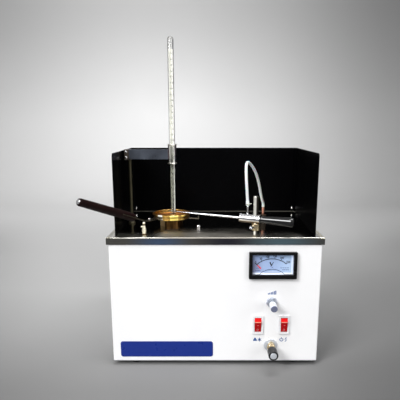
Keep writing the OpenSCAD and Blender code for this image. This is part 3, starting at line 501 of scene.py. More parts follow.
def print_thermometer():
    """Scale inside the tube: lines on its left and figures on its right.

    GLYPHS has no 4, 6, 7, 8 or 9, so a number that needs one shows another number, not its own.
    """
    x, y = TUBE_AXIS[0], TUBE_AXIS[1] + PLATE_DEEP[0] - 0.05
    bm = bmesh.new()
    for i in range(141):
        z = SCALE_FOOT + i * 2
        reach = 2.6 if i % 5 == 0 else 1.5
        ribbon(bm, [(x - 1.2 - reach, z), (x - 1.2, z)], 0.34, y)
    for i in range(29):
        text = str(i * 10)
        if not all(sign in GLYPHS for sign in text):
            text = ("0", "10", "20", "30", "50")[i % 5]
        write(bm, text, x + 0.9, SCALE_FOOT + i * 10, 3.0, 1.2, y, 0.5)
    print_of("thermometer_scale", bm, "ink", "thermometer")


def make_name_plate():
    """Bare blue plate low on the front, with bevelled edges."""
    left, right, low, high, round_r = -163.4, -3.8, 16.2, 44.9, 4.3
    corners = []
    for cx, cz, start in ((right - round_r, high - round_r, 0), (left + round_r, high - round_r, 90),
                          (left + round_r, low + round_r, 180), (right - round_r, low + round_r, 270)):
        corners += [(cx, cz, math.radians(start + 15 * k)) for k in range(7)]
    bm = bmesh.new()
    rims = []
    for inset, y in ((0.0, 1.5), (0.0, 1.0), (0.35, 0.8)):
        reach = round_r - inset
        rims.append([bm.verts.new(at(cx + reach * math.cos(a), y, cz + reach * math.sin(a)))
                     for cx, cz, a in corners])
    count = len(corners)
    for a, b in zip(rims, rims[1:]):
        for k in range(count):
            bm.faces.new((a[k], a[(k + 1) % count], b[(k + 1) % count], b[k]))
    bm.faces.new(rims[0])
    bm.faces.new(rims[-1])
    return add_object("name_plate", mesh_of("name_plate", bm, 20))


print_dial()
print_cover()
print_needle()
print_labels()
print_rockers()
print_thermometer()
name_plate = make_name_plate()


# Materials. Their masks take mm in the frame of at().

# The axes are upright, each given as its (x, y)
CUP_AXIS = (-80, 98.5)
FLAME_AXIS = (68.5, 28)
SWITCH_Z = 75.8


def display(r, g, b):
    """The linear colour of display values from 0 to 255."""
    def channel(value):
        value /= 255
        return value / 12.92 if value <= 0.04045 else ((value + 0.055) / 1.055) ** 2.4
    return channel(r), channel(g), channel(b), 1.0


class Finish:
    """A procedural material: one Principled shader and the nodes that vary it over the surface."""

    def __init__(self, name, color, rough, metal=0.0, specular=0.5, **shader_values):
        self.material = bpy.data.materials.new(name)
        self.material.use_nodes = True
        self.tree = self.material.node_tree
        self.shader = self.tree.nodes["Principled BSDF"]
        self.shader.inputs["Metallic"].default_value = metal
        self.shader.inputs["Specular IOR Level"].default_value = specular
        for socket, value in shader_values.items():
            self.shader.inputs[socket.replace("_", " ")].default_value = value
        self.place = self.node("ShaderNodeTexCoord").outputs["Object"]
        self.color = display(*color)
        self.rough = rough
        self.normal = None

    @classmethod
    def again(cls, material):
        """Goes on with a finished material."""
        finish = cls.__new__(cls)
        finish.material = material
        finish.tree = material.node_tree
        finish.shader = finish.tree.nodes["Principled BSDF"]
        finish.place = finish.node("ShaderNodeTexCoord").outputs["Object"]
        finish.color = tuple(finish.shader.inputs["Base Color"].default_value)
        return finish

    def feed(self, socket, value):
        if isinstance(value, bpy.types.NodeSocket):
            self.tree.links.new(value, socket)
        else:
            socket.default_value = value

    def node(self, kind, settings=None, **inputs):
        node = self.tree.nodes.new(kind)
        for name, value in (settings or {}).items():
            setattr(node, name, value)
        for name, value in inputs.items():
            self.feed(node.inputs[name.replace("_", " ")], value)
        return node

    def math(self, operation, *values):
        node = self.node("ShaderNodeMath", {"operation": operation})
        for socket, value in zip(node.inputs, values):
            self.feed(socket, value)
        return node.outputs[0]

    def times(self, a, b):
        return self.math("MULTIPLY", a, b)

    def off(self, value, middle):
        """How far value is from middle, to either side."""
        return self.math("ABSOLUTE", self.math("SUBTRACT", value, middle))

    def put(self, socket, value):
        """Sets or links an input of the Principled shader."""
        self.feed(self.shader.inputs[socket], value)

    def span(self, value, low, high, to_low=0.0, to_high=1.0, smooth=True):
        """value taken from low..high to to_low..to_high, and held at the ends."""
        settings = {"interpolation_type": "SMOOTHSTEP"} if smooth else None
        node = self.node("ShaderNodeMapRange", settings, Value=value)
        for socket, number in zip(node.inputs[1:5], (low, high, to_low, to_high)):
            self.feed(socket, number)
        return node.outputs[0]

    def mix(self, share, a, b):
        node = self.node("ShaderNodeMix", {"data_type": "RGBA"})
        for index, value in ((0, share), (6, a), (7, b)):
            self.feed(node.inputs[index], value)
        return node.outputs[2]

    def noise(self, size, stretch=(1, 1, 1), detail=3.0, seed=0.0):
        """Noise with features of that size in mm. A stretch under 1 draws them out along that axis."""
        where = self.place
        if stretch != (1, 1, 1):
            where = self.node("ShaderNodeMapping", Vector=self.place, Scale=stretch).outputs[0]
        moved = self.node("ShaderNodeVectorMath", {"operation": "ADD"})
        self.feed(moved.inputs[0], where)
        moved.inputs[1].default_value = (seed, seed * 0.7, seed * 1.3)
        node = self.node("ShaderNodeTexNoise", Vector=moved.outputs[0], Scale=1 / (size * MM),
                         Detail=detail)
        return node.outputs["Fac"]

    def axis(self, name):
        """A coordinate in mm, as at() takes it."""
        parts = self.node("ShaderNodeSeparateXYZ", Vector=self.place).outputs
        value = self.times(parts[name], 1 / MM)
        origin = {"X": MIDDLE_X, "Y": FRONT_Y, "Z": 0.0}[name]
        return self.math("SUBTRACT", value, origin / MM)

    def away(self, x, y):
        """Distance in mm from an upright axis."""
        across, deep = (self.math("SUBTRACT", self.axis(n), v) for n, v in (("X", x), ("Y", y)))
        squares = self.math("ADD", self.times(across, across), self.times(deep, deep))
        return self.math("SQRT", squares)

    def shade(self, share, size, **how):
        """Lightens and darkens the colour by up to that share."""
        level = self.span(self.noise(size, **how), 0.25, 0.75, 1 - share, 1 + share, smooth=False)
        self.color = self.node("ShaderNodeHueSaturation", Color=self.color, Value=level).outputs[0]

    def unpolish(self, share, size, **how):
        """Varies the roughness by up to that share."""
        level = self.span(self.noise(size, **how), 0.25, 0.75, 1 - share, 1 + share, smooth=False)
        self.rough = self.times(level, self.rough)

    def paint(self, mask, color, rough=None):
        """Lays a colour on where mask is 1: display values, or the output of a node."""
        if isinstance(color, tuple):
            color = display(*color)
        self.color = self.mix(mask, self.color, color)
        if rough is not None:
            self.rough = self.span(mask, 0, 1, self.rough, rough, smooth=False)

    def relief(self, height, depth):
        """Adds a bump of that depth in mm, where height goes from 0 to 1."""
        bump = self.node("ShaderNodeBump", Height=height, Distance=depth * MM)
        if self.normal:
            self.feed(bump.inputs["Normal"], self.normal)
        self.normal = bump.outputs[0]

    def round_edges(self, radius):
        self.normal = self.node("ShaderNodeBevel", {"samples": 6}, Radius=radius * MM).outputs[0]

    def done(self):
        self.put("Base Color", self.color)
        self.put("Roughness", self.rough)
        if self.normal:
            self.put("Normal", self.normal)
        return self.material


def white_paint():
    """Powder coat with a slight orange peel."""
    finish = Finish("white_paint", (251, 251, 252), 0.36, specular=0.4)
    finish.round_edges(0.5)
    finish.relief(finish.noise(1.1, detail=2.0), 0.012)
    finish.shade(0.02, 60)
    finish.unpolish(0.12, 25)
    return finish.done()


def black_sheet():
    """Glossy black sheet: dull along its right bend, with a grey painted highlight where its edge stands on
    the top plate.
    """
    finish = Finish("black_paint", (3, 3, 4), 0.24, specular=0.06)
    finish.round_edges(0.5)
    finish.relief(finish.noise(1.1, detail=2.0), 0.005)
    finish.unpolish(0.12, 25)
    across, deep, height = (finish.axis(name) for name in "XYZ")
    bend = finish.times(finish.span(across, 166, 168), finish.span(deep, 212, 218))
    finish.put("Specular IOR Level", finish.span(bend, 0, 1, 0.06, 0.004))
    # Painted highlight: a grey line along the sheet's foot where it stands on the top plate.
    foot = finish.times(finish.span(height, 231.4, 230.9), finish.span(deep, 228, 229))
    finish.paint(foot, (74, 72, 68))
    return finish.done()


def moulded(name, color, rough, specular=0.5):
    """Moulded plastic: softened edges, faint flow marks and handling shine."""
    finish = Finish(name, color, rough, specular=specular)
    finish.round_edges(0.4)
    finish.relief(finish.noise(0.6, detail=2.0), 0.006)
    finish.shade(0.05, 9)
    finish.unpolish(0.2, 6)
    return finish.done()


def turned(name, color, rough, lines=(1, 1, 0.02), groove=0.004, metal=1.0):
    """Machined metal: fine tool lines, drawn out along the axes that lines keeps small."""
    finish = Finish(name, color, rough, metal=metal)
    finish.round_edges(0.3)
    finish.relief(finish.noise(0.25, stretch=lines, detail=2.0), groove)
    finish.shade(0.05, 14)
    finish.unpolish(0.25, 7)
    return finish.done()


def brushed(name, color, rough, line=0.3):
    """Brushed or rolled sheet with lines of that size in mm, drawn out across the object."""
    along = (0.02, 1, 1)
    finish = Finish(name, color, rough, metal=1.0)
    finish.round_edges(0.25)
    finish.relief(finish.noise(line, stretch=along, detail=4.0), 0.006)
    finish.shade(0.05, line * 3, stretch=along)
    finish.unpolish(0.3, 16)
    return finish.done()


def deck_steel():
    """Polished top plate with faint lines along it, duller in the middle and along its front, where its
    colour is also darkened as a painted dim sheen.

    Its skirt is painted darker, a painted dark reflection, with three soft tints that are painted reflections
    of its surroundings.
    """
    finish = Finish("deck_steel", (190, 188, 180), 0.09, metal=1.0)
    finish.round_edges(0.5)
    finish.relief(finish.noise(0.9, stretch=(0.012, 1, 1), detail=4.0), 0.003)
    finish.shade(0.05, 3, stretch=(0.01, 1, 1))
    across, deep, height = (finish.axis(name) for name in "XYZ")
    middle = finish.off(across, -14)
    # Rougher zone in the middle and front, where the colour is also darkened as a painted dim sheen.
    painted_dim_sheen = finish.times(finish.span(middle, 96, 60), finish.span(deep, 84, 50))
    rubbed = finish.times(finish.span(middle, 176, 150), finish.span(deep, 58, 14))
    finish.rough = finish.math("ADD", finish.span(painted_dim_sheen, 0, 1, 0.09, 0.27), finish.times(rubbed, 0.2))
    finish.paint(painted_dim_sheen, (150, 146, 138))
    finish.unpolish(0.25, 40)
    # Painted reflections on the bare plate outside each wing: cream on the right, grey on the left.
    finish.paint(finish.span(across, 172, 173), (255, 250, 232), 0.3)
    finish.paint(finish.span(across, -172, -173), (164, 160, 148))
    # The skirt's dark grey and its three tints are painted reflections.
    skirt = display(120, 118, 113)
    for centre, spread, tone in ((-92, 60, (108, 132, 168)), (20, 70, (72, 72, 84)),
                                 (108, 80, (132, 162, 174))):
        near = finish.span(finish.off(across, centre), 0, spread, 0.95, 0)
        skirt = finish.mix(near, skirt, display(*tone))
    finish.paint(finish.span(height, 227.2, 228.4, 1, 0), skirt, 0.2)
    return finish.done()


def cup_brass():
    """Turned brass, browned by heat inside the cup, and darkened with the same brown on most of the rim.

    The front of the rim and the left of the stem are painted with the photograph's highlights.
    """
    finish = Finish("cup_brass", (214, 178, 104), 0.2, metal=1.0)
    finish.round_edges(0.35)
    finish.relief(finish.noise(0.3, stretch=(0.05, 0.05, 1), detail=3.0), 0.006)
    finish.shade(0.08, 11)
    finish.unpolish(0.3, 6)
    height = finish.axis("Z")
    radius = finish.away(*CUP_AXIS)
    across, deep = (finish.math("SUBTRACT", finish.axis(n), v) for n, v in zip("XY", CUP_AXIS))
    slope = finish.times(finish.span(radius, 31.8, 31.0), finish.span(height, 244.1, 244.3))
    inside = finish.math("MAXIMUM", slope, finish.span(radius, 20.3, 20.0))
    # Most of the rim takes the inside's brown at three quarters strength. Its front is left out and painted
    # below.
    rim = finish.times(finish.span(radius, 31.8, 32.2), finish.span(height, 244.1, 244.6))
    front = finish.times(rim, finish.span(deep, -20, -27))
    inside = finish.math("MAXIMUM", inside, finish.times(finish.math("SUBTRACT", rim, front), 0.75))
    stain = finish.mix(finish.noise(7, seed=2.0), display(104, 64, 28), display(156, 102, 50))
    finish.paint(inside, stain, 0.42)
    stem = finish.span(height, 243.5, 242.5)
    finish.rough = finish.span(stem, 0, 1, finish.rough, 0.36, smooth=False)
    # Painted light on the stem: its left is a painted highlight, the rest is painted darker in streaks, a
    # painted shade.
    dull = finish.times(stem, finish.span(across, -12, -10))
    lit = finish.math("SUBTRACT", stem, dull)
    finish.paint(lit, (255, 222, 168))
    finish.paint(front, (190, 150, 70), 0.24)
    for middle, half, tone in ((-18, 5, (255, 255, 244)), (7, 8, (255, 236, 124)), (24, 5, (240, 206, 110))):
        near = finish.times(front, finish.span(finish.off(across, middle), half, half - 1.5))
        finish.paint(near, tone)
        lit = finish.math("MAXIMUM", lit, near)
    metal = finish.span(front, 0, 1, 1.0, 0.55)
    finish.put("Metallic", finish.math("SUBTRACT", metal, finish.times(lit, 0.45)))
    # Painted shade: dark streaks on the right of the stem.
    streaks = finish.span(finish.noise(2.4, stretch=(1, 1, 0.05), seed=5.0), 0.35, 0.65)
    finish.paint(dull, finish.mix(streaks, display(48, 32, 18), display(116, 84, 46)))
    return finish.done()


def clear_glass(name, tint, rough, ior=1.47):
    """Glass that lets lamps through, so that what stands behind it is lit."""
    finish = Finish(name, tint, rough, IOR=ior, Transmission_Weight=1.0)
    finish.relief(finish.noise(9, stretch=(1, 1, 0.3), detail=1.0), 0.004)
    finish.unpolish(0.5, 12)
    material = finish.done()
    shadow = finish.node("ShaderNodeLightPath").outputs["Is Shadow Ray"]
    through = finish.node("ShaderNodeBsdfTransparent")
    pick = finish.node("ShaderNodeMixShader")
    finish.feed(pick.inputs[0], shadow)
    finish.feed(pick.inputs[1], finish.shader.outputs[0])
    finish.feed(pick.inputs[2], through.outputs[0])
    finish.feed(finish.tree.nodes["Material Output"].inputs["Surface"], pick.outputs[0])
    return material


def thermometer_glass():
    """Clear tube with a painted grey shade along its right side, and a milky plate behind the bore, painted
    darker from the sleeve's top down to its foot and below, a painted shade.
    """
    material = clear_glass("thermometer_glass", (250, 250, 249), 0.02)
    finish = Finish.again(material)
    right = finish.math("SUBTRACT", finish.axis("X"), TUBE_AXIS[0])
    height = finish.axis("Z")
    deep = finish.off(finish.axis("Y"), TUBE_AXIS[1] + sum(PLATE_DEEP) / 2)
    plate = finish.times(finish.span(deep, 0.46, 0.43), finish.span(height, 250.0, 250.3))
    plate = finish.times(plate, finish.span(finish.math("ABSOLUTE", right), 3.96, 3.93))
    low, high = (corner.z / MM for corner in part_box("clamp_sleeve"))
    # Painted shade: the milky plate is darker from the sleeve's top down to its foot and below.
    milky = finish.mix(finish.span(height, low, high), display(158, 158, 144), display(228, 228, 220))
    shown = finish.mix(finish.span(right, 2.2, 2.4), milky, display(250, 250, 244))
    # Painted shade: grey along the tube's right side.
    clear_and_painted_grey = finish.mix(finish.span(right, 3.0, 4.2), finish.color, display(214, 214, 217))
    finish.put("Base Color", finish.mix(plate, clear_and_painted_grey, shown))
    finish.put("Transmission Weight", finish.span(plate, 0, 1, 1.0, 0.62))
    return material


def meter_offsets(finish):
    """Distance to the right of the meter's middle and distance above it."""
    return [finish.math("SUBTRACT", finish.axis(n), v) for n, v in zip("XZ", METER)]


def dial_paper():
    """Printed dial, a cool white, with painted shade that darkens it to the left and towards the top, painted
    lighter to the right, and a painted highlight on a paler margin right and below.
    """
    finish = Finish("dial_paper", (144, 160, 188), 0.55, specular=0.2)
    right, up = meter_offsets(finish)
    # Painted light: shade to the left and towards the top, lighter to the right, and highlights along the
    # right and bottom margins.
    for mask, color in ((finish.span(right, -14, -36, 0, 0.85), (112, 112, 138)),
                        (finish.span(right, 2, 30, 0, 0.7), (176, 194, 214)),
                        (finish.span(up, 17, 2, 0.45, 0), (108, 128, 160)),
                        (finish.span(right, 30.4, 30.9), (212, 220, 240)),
                        (finish.span(up, -12.8, -13.4), (232, 234, 244))):
        finish.paint(mask, color)
    finish.shade(0.02, 3)
    finish.relief(finish.noise(0.3), 0.004)
    return finish.done()


def cover_pale():
    """Pale cover over the needle's hub, with a white painted highlight along its foot."""
    finish = Finish("cover_pale", (168, 178, 196), 0.45, specular=0.2)
    finish.round_edges(0.3)
    up = meter_offsets(finish)[1]
    # Painted highlight along the cover's foot.
    finish.paint(finish.span(up, -12.8, -13.8), (236, 238, 246))
    finish.shade(0.03, 9)
    return finish.done()


def needle_red():
    """Red needle, dark at its outer end and pale towards its hub."""
    finish = Finish("needle_red", (214, 40, 44), 0.4)
    right = meter_offsets(finish)[0]
    finish.paint(finish.span(right, -25.4, -26.4), (60, 40, 52))
    finish.paint(finish.span(right, -20, -19), (138, 156, 186))
    finish.shade(0.06, 4)
    return finish.done()


def rocker_red():
    """Glossy red rocker, painted brighter above its ridge as painted light, with a pale painted highlight
    along the ridge.
    """
    finish = Finish("rocker_red", (190, 6, 12), 0.25, specular=0.3)
    finish.round_edges(0.35)
    up = finish.math("SUBTRACT", finish.axis("Z"), SWITCH_Z)
    # Painted light: brighter above the ridge, and a pale painted highlight along the ridge.
    finish.paint(finish.span(up, 6.8, 7.2), (236, 8, 10))
    finish.paint(finish.span(finish.off(up, 6.4), 0.4, 0.8, 0.8, 0), (246, 196, 170))
    finish.shade(0.05, 5)
    finish.unpolish(0.2, 3)
    return finish.done()


def knob_satin():
    """Satin knob with a darker turned end."""
    finish = Finish("knob_satin", (232, 236, 242), 0.42, metal=0.5)
    finish.round_edges(0.3)
    finish.relief(finish.noise(0.25, stretch=(1, 0.02, 1), detail=2.0), 0.003)
    finish.paint(finish.span(finish.axis("Y"), -29.3, -29.6), (128, 134, 160), 0.5)
    finish.shade(0.04, 6)
    finish.unpolish(0.2, 5)
    return finish.done()


def switch_white():
    """White housing, with brass blades at its back inside the cabinet."""
    finish = Finish("switch_white", (240, 240, 242), 0.3)
    finish.round_edges(0.5)
    finish.shade(0.015, 8)
    finish.unpolish(0.2, 5)
    blades = finish.span(finish.axis("Y"), 25.4, 25.6)
    finish.paint(blades, (196, 160, 84), 0.35)
    finish.put("Metallic", blades)
    return finish.done()


def board_green():
    """Power board: green laminate, bright fins and posts, and two moulded parts."""
    finish = Finish("board_green", (44, 100, 56), 0.45)
    finish.round_edges(0.3)
    height = finish.axis("Z")
    raised = finish.span(height, 20.2, 20.3)
    parts = finish.times(finish.span(finish.axis("X"), -45, -44.9), raised)
    metal = finish.math("MAXIMUM", finish.span(height, 19.0, 18.9), raised)
    metal = finish.times(metal, finish.math("SUBTRACT", 1.0, parts))
    finish.paint(metal, (186, 188, 192), 0.35)
    finish.put("Metallic", metal)
    kinds = finish.span(finish.axis("Y"), 120, 121)
    finish.paint(parts, finish.mix(kinds, display(44, 78, 140), display(214, 210, 198)))
    finish.shade(0.06, 5)
    return finish.done()


def collar_brass():
    """Brass of the gas fittings. The collar's socket screw is bright."""
    finish = Finish("valve_brass", (208, 190, 154), 0.26, metal=1.0)
    finish.round_edges(0.3)
    finish.relief(finish.noise(0.25, stretch=(0.1, 0.1, 1), detail=2.0), 0.005)
    finish.shade(0.08, 6)
    finish.unpolish(0.25, 5)
    radius = finish.away(*FLAME_AXIS)
    screw = finish.times(finish.span(radius, 40, 39), finish.span(radius, 7.52, 7.6))
    finish.paint(screw, (214, 216, 220), 0.18)
    return finish.done()


def nipple_copper():
    """Copper nipple, painted darker at its foot as painted shade."""
    finish = Finish("nipple_copper", (222, 156, 132), 0.35, metal=0.6)
    finish.round_edges(0.3)
    # Painted shade on the nipple's foot.
    finish.paint(finish.span(finish.axis("Z"), 250, 244), (58, 50, 42), 0.45)
    finish.shade(0.06, 5)
    return finish.done()


def block_chrome():
    """Bright turned block whose lower side is painted darker, a painted reflection of the top plate."""
    finish = Finish("block_chrome", (226, 227, 230), 0.1, metal=1.0)
    finish.round_edges(0.3)
    finish.relief(finish.noise(0.3, stretch=(1, 0.05, 0.05), detail=2.0), 0.001)
    # Painted reflection: the lower side darkened as if it mirrored the top plate.
    finish.paint(finish.span(finish.axis("Z"), 254.5, 250.5, 0, 0.9), (136, 118, 90), 0.3)
    finish.shade(0.05, 8)
    return finish.done()


def sleeve_chrome():
    """Chrome sleeve with brighter collars, painted white inside as a painted reflection."""
    finish = Finish("sleeve_chrome", (196, 186, 190), 0.22, metal=1.0)
    finish.round_edges(0.25)
    finish.relief(finish.noise(0.25, stretch=(1, 1, 0.02), detail=2.0), 0.002)
    low, high = (corner.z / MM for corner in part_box("clamp_sleeve"))
    height = finish.axis("Z")
    collars = finish.math("MAXIMUM", finish.span(height, low + 2.6, low + COLLAR_H),
                          finish.span(height, high - 2.6, high - COLLAR_H))
    finish.paint(collars, (250, 246, 238), 0.3)
    # Painted reflection: the inside is a white, non-metallic stand-in for the chrome's bright reflections.
    inside = finish.span(finish.away(*TUBE_AXIS), TUBE_R + 0.5, TUBE_R + 0.3)
    finish.paint(inside, (246, 246, 240), 0.5)
    finish.put("Metallic", finish.span(inside, 0, 1, 1.0, 0.0))
    finish.unpolish(0.2, 6)
    return finish.done()


def post_chrome():
    """Chrome post, painted dark on its right side, where the photograph's mirrors the black sheet."""
    finish = Finish("post_chrome", (250, 248, 240), 0.22, metal=0.6)
    finish.round_edges(0.3)
    finish.relief(finish.noise(0.25, stretch=(0.1, 0.1, 1), detail=2.0), 0.001)
    right = finish.math("SUBTRACT", finish.axis("X"), FLAME_AXIS[0])
    finish.paint(finish.span(right, -0.6, 0.6), (46, 42, 36), 0.35)
    finish.shade(0.05, 14)
    return finish.done()


def bead_brass():
    """Pale turned brass, painted darker at its neck and foot as painted shade."""
    finish = Finish("bead_brass", (252, 246, 222), 0.3, metal=0.5)
    finish.round_edges(0.3)
    height = finish.axis("Z")
    # Painted shade in the neck and at the foot.
    neck = finish.span(finish.off(height, 246.6), 1.6, 0.6)
    finish.paint(finish.math("MAXIMUM", finish.span(height, 232.4, 231.6), neck), (96, 74, 40))
    finish.shade(0.08, 4)
    finish.unpolish(0.2, 3)
    return finish.done()


def grip_brown():
    """Moulded phenolic: dark red-brown, with a faint flow."""
    finish = Finish("grip_brown", (26, 10, 9), 0.5, specular=0.12)
    finish.round_edges(0.3)
    finish.shade(0.22, 16, stretch=(0.4, 0.4, 1))
    finish.relief(finish.noise(0.8), 0.012)
    finish.unpolish(0.25, 10)
    return finish.done()


def hose_silicone():
    """Milky silicone that light goes into a little way."""
    finish = Finish("hose_silicone", (232, 236, 236), 0.38, specular=0.45,
                    Subsurface_Weight=0.25, Subsurface_Scale=0.002)
    finish.shade(0.04, 5)
    finish.unpolish(0.2, 4)
    finish.relief(finish.noise(1.2), 0.01)
    return finish.done()


def plate_blue():
    """Blue enamel."""
    finish = Finish("plate_blue", (20, 45, 132), 0.3, specular=0.4)
    finish.shade(0.04, 20)
    finish.unpolish(0.15, 12)
    finish.relief(finish.noise(1.5), 0.004)
    return finish.done()


def rubber():
    """Dull dark rubber."""
    finish = Finish("foot_rubber", (34, 34, 35), 0.75, specular=0.3)
    finish.round_edges(0.5)
    finish.relief(finish.noise(0.5), 0.02)
    finish.shade(0.2, 4)
    return finish.done()


def ceramic():
    """Rough pale ceramic, greyer where the coil lies in it."""
    finish = Finish("ceramic", (226, 220, 202), 0.7, specular=0.35)
    finish.round_edges(0.5)
    finish.relief(finish.noise(0.8, detail=5.0), 0.05)
    finish.shade(0.1, 12)
    coil = finish.span(finish.axis("Z"), 212.6, 212.7)
    finish.paint(finish.times(coil, 0.3), (120, 116, 110))
    return finish.done()


def iron():
    """Heater plate, scorched in patches."""
    finish = Finish("heater_iron", (150, 118, 76), 0.5, metal=1.0)
    finish.round_edges(0.5)
    finish.relief(finish.noise(0.5, detail=5.0), 0.04)
    finish.shade(0.2, 10)
    finish.paint(finish.span(finish.noise(16, seed=4.0), 0.5, 0.75), (74, 58, 48), 0.7)
    return finish.done()


MATERIALS = [
    (white_paint(), "cabinet_shell rear_panel"),
    (brushed("zinc_sheet", (188, 190, 194), 0.38, line=2.0), "base_pan heater_pot"),
    (deck_steel(), "deck_plate"),
    (black_sheet(), "windshield shield_bracket"),
    (turned("screw_steel", (222, 222, 224), 0.2),
     "deck_screws casing_screws fan_guard cup_rivets cup_button clamp_screws heater_studs"),
    (rubber(), "rubber_feet"),
    (moulded("meter_black", (9, 9, 10), 0.3, specular=0.25), "meter_case power_inlet"),
    (dial_paper(), "meter_dial"),
    (cover_pale(), "meter_cover"),
    (clear_glass("meter_window", (246, 250, 255), 0.03, ior=1.3), "meter_lens"),
    (needle_red(), "meter_needle"),
    (moulded("pot_grey", (120, 128, 138), 0.5), "regulator_pot"),
    (turned("nut_chrome", (238, 242, 252), 0.5), "regulator_nut regulator_shaft valve_stem"),
    (knob_satin(), "regulator_knob"),
    (switch_white(), "switch_housing_left switch_housing_right"),
    (rocker_red(), "rocker_left rocker_right"),
    (collar_brass(), "valve_body flame_collar rear_nipple"),
    (turned("valve_chrome", (214, 218, 224), 0.42, metal=0.4), "valve_flange valve_insert"),
    (moulded("knob_black", (26, 27, 29), 0.34, specular=0.4), "valve_knob"),
    (turned("copper_pipe", (190, 150, 118), 0.3), "gas_pipes"),
    (nipple_copper(), "deck_nipple"),
    (iron(), "heater_plate"),
    (ceramic(), "heater_element seat_ring"),
    (cup_brass(), "cup_body"),
    (brushed("strap_steel", (112, 106, 94), 0.3), "cup_strap"),
    (grip_brown(), "cup_grip"),
    (turned("post_steel", (88, 84, 68), 0.55, lines=(0.1, 0.1, 1), groove=0.001), "thermometer_post"),
    (moulded("clamp_grey", (64, 57, 50), 0.4, specular=0.3), "clamp_block"),
    (brushed("arm_steel", (108, 114, 126), 0.34), "clamp_arm"),
    (turned("mercury", (190, 192, 196), 0.1), "thermometer_core"),
    (block_chrome(), "arm_block arm_nipple"),
    (post_chrome(), "flame_post"),
    (turned("tube_steel", (214, 216, 222), 0.12, groove=0.001), "flame_tube"),
    (moulded("handle_black", (4, 4, 5), 0.07, specular=0.75), "arm_handle"),
    (bead_brass(), "bead_post"),
    (moulded("fan_black", (26, 26, 28), 0.5), "fan_frame fan_rotor"),
    (board_green(), "power_board"),
]


def dress(piece, material):
    if not piece.material_slots:
        piece.data.materials.append(material)
    for part in piece.material_slots:
        part.link = "OBJECT"
        part.material = material


for material, names in MATERIALS:
    for name in names.split():
        dress(nodes[name], material)
for piece, material, replaced in ((sleeve, sleeve_chrome(), "clamp_sleeve"),
                                  (glass_tube, thermometer_glass(), "thermometer_tube")):
    dress(piece, material)
    dress(nodes[replaced], material)
dress(hose, hose_silicone())
dress(hose_clip, turned("clip_steel", (236, 234, 226), 0.3))
dress(name_plate, plate_blue())
INKS = {
    "ink": moulded("ink", (14, 18, 28), 0.5, specular=0.2),
    "pale_ink": moulded("pale_ink", (34, 48, 92), 0.5, specular=0.2),
    "needle_paint": moulded("needle_paint", (226, 24, 34), 0.4, specular=0.2),
    "label_blue": moulded("label_blue", (10, 80, 150), 0.5, specular=0.2),
    "mark_white": moulded("mark_white", (240, 168, 168), 0.4),
}
for piece, ink in PRINTS:
    dress(piece, INKS[ink])


# Floor, backdrop and lights

FLOOR_FRONT = -3.0
FLOOR_BACK = 1.5
BEND_R = 0.7
SWEEP_HALF = 9.0
WALL_TOP = 4.0
LIGHT_POOL_PLACE = (-330, 2300, 620)
LIGHT_POOL_REACH = 3.0
END_GREYS = ((0.05, (236, 236, 236)), (0.96, (112, 112, 113)))
GREYS = ((0.3, 212), (0.5, 190), (0.68, 176), (0.82, 132))


def sweep_mesh():
    """Floor and wall in one sheet with a round bend between them."""
    profile = [(FLOOR_FRONT, 0.0), (FLOOR_BACK, 0.0)]
    for step in range(1, 13):
        turn = math.radians(step * 90 / 12)
        profile.append((FLOOR_BACK + BEND_R * math.sin(turn), BEND_R - BEND_R * math.cos(turn)))
    profile.append((FLOOR_BACK + BEND_R, WALL_TOP))
    bm = bmesh.new()
    rows = [[bm.verts.new((x, y, z)) for x in (-SWEEP_HALF, SWEEP_HALF)] for y, z in profile]
    for a, b in zip(rows, rows[1:]):
        bm.faces.new((a[0], a[1], b[1], b[0]))
    mesh = mesh_of("sweep", bm, 60)
    if mesh.polygons[0].normal.z < 0:
        mesh.flip_normals()
    return mesh


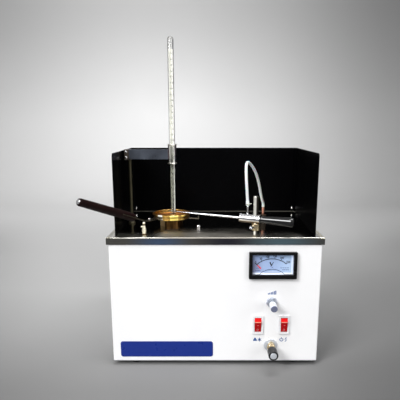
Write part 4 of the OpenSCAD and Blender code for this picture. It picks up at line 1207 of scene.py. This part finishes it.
def sweep_grey():
    """Grey with a painted pool of light, palest at one place on the wall, behind the object and to its left.

    The floor is painted darker beside the object and paler again past what the main view shows, a painted
    falloff of light.
    """
    finish = Finish("sweep", (150, 150, 150), 0.7, specular=0.2)
    # Painted pool of light on the wall, fading with distance from that place.
    apart = finish.node("ShaderNodeVectorMath", {"operation": "DISTANCE"})
    finish.feed(apart.inputs[0], finish.place)
    apart.inputs[1].default_value = at(*LIGHT_POOL_PLACE)
    ramp = finish.node("ShaderNodeValToRGB", Fac=finish.math("DIVIDE", apart.outputs["Value"], LIGHT_POOL_REACH))
    stops = ramp.color_ramp.elements
    for stop, (position, color) in zip(stops, END_GREYS):
        stop.position = position
        stop.color = display(*color)
    for position, level in GREYS:
        stop = stops.new(position)
        stop.color = display(level, level, level)
    across, deep, height = (finish.axis(name) for name in "XYZ")
    # Painted light and shade: the wall darker upwards and to the right, the floor darker beside the object.
    wall = finish.times(finish.span(height, 400, 1250, 1.0, 0.67), finish.span(across, 300, 1300, 1.02, 0.8))
    wall = finish.times(wall, finish.span(finish.math("ABSOLUTE", across), 1700, 2600, 1, 1.9))
    beside = finish.math("SUBTRACT", finish.off(across, -100), finish.times(deep, 0.45))
    floor = finish.times(finish.span(beside, 80, 520, 0.94, 0.55), finish.span(deep, 200, -200, 1, 0.8))
    outer = finish.math("MAXIMUM", finish.span(beside, 620, 1100), finish.span(deep, -260, -800))
    floor = finish.times(floor, finish.span(outer, 0, 1, 1, 2.3))
    level = finish.span(finish.span(deep, 700, 1400), 0, 1, floor, wall, smooth=False)
    finish.color = finish.node("ShaderNodeHueSaturation", Color=ramp.outputs["Color"], Value=level).outputs[0]
    finish.shade(0.01, 300)
    return finish.done()


def make_sweep():
    sweep = bpy.data.objects.new("sweep", sweep_mesh())
    bpy.context.scene.collection.objects.link(sweep)
    dress(sweep, sweep_grey())


def make_lamp(name, place, aim, size, power):
    data = bpy.data.lights.new(name, "AREA")
    data.shape = "RECTANGLE"
    data.size, data.size_y = size
    data.energy = power
    lamp = bpy.data.objects.new(name, data)
    lamp.location = place
    lamp.rotation_euler = (Vector(aim) - Vector(place)).to_track_quat("-Z", "Y").to_euler()
    bpy.context.scene.collection.objects.link(lamp)


SKY_AXIS = (0, 0.55, 0.83)
SKY_LEVELS = (-0.7, 0.8, 0.17, 0.6)
LAMP_AIM = (0, 0, 0.2)


def make_world():
    """Pale studio air: brightest above and behind the object, dimmer in front of it."""
    world = bpy.data.worlds.new("studio")
    world.use_nodes = True
    tree = world.node_tree
    background = tree.nodes["Background"]
    place = tree.nodes.new("ShaderNodeTexCoord").outputs["Generated"]
    toward = tree.nodes.new("ShaderNodeVectorMath")
    toward.operation = "DOT_PRODUCT"
    toward.inputs[1].default_value = SKY_AXIS
    tree.links.new(place, toward.inputs[0])
    level = tree.nodes.new("ShaderNodeMapRange")
    for socket, value in zip(level.inputs[1:5], SKY_LEVELS):
        socket.default_value = value
    tree.links.new(toward.outputs["Value"], level.inputs[0])
    tree.links.new(level.outputs[0], background.inputs["Strength"])
    background.inputs["Color"].default_value = (1, 1, 1, 1)
    bpy.context.scene.world = world


make_sweep()
make_world()
make_lamp("key", (-1.3, -1.6, 1.7), LAMP_AIM, (1.1, 1.1), 58)
make_lamp("fill", (1.5, -1.5, 0.9), LAMP_AIM, (1.0, 1.4), 12)
make_lamp("top", (0.12, -0.35, 1.9), LAMP_AIM, (1.3, 0.32), 20)
make_lamp("glow", (-0.45, 1.15, 1.9), (-0.4, 2.2, 0.5), (0.7, 0.5), 7)
bpy.context.scene.view_settings.view_transform = "Standard"
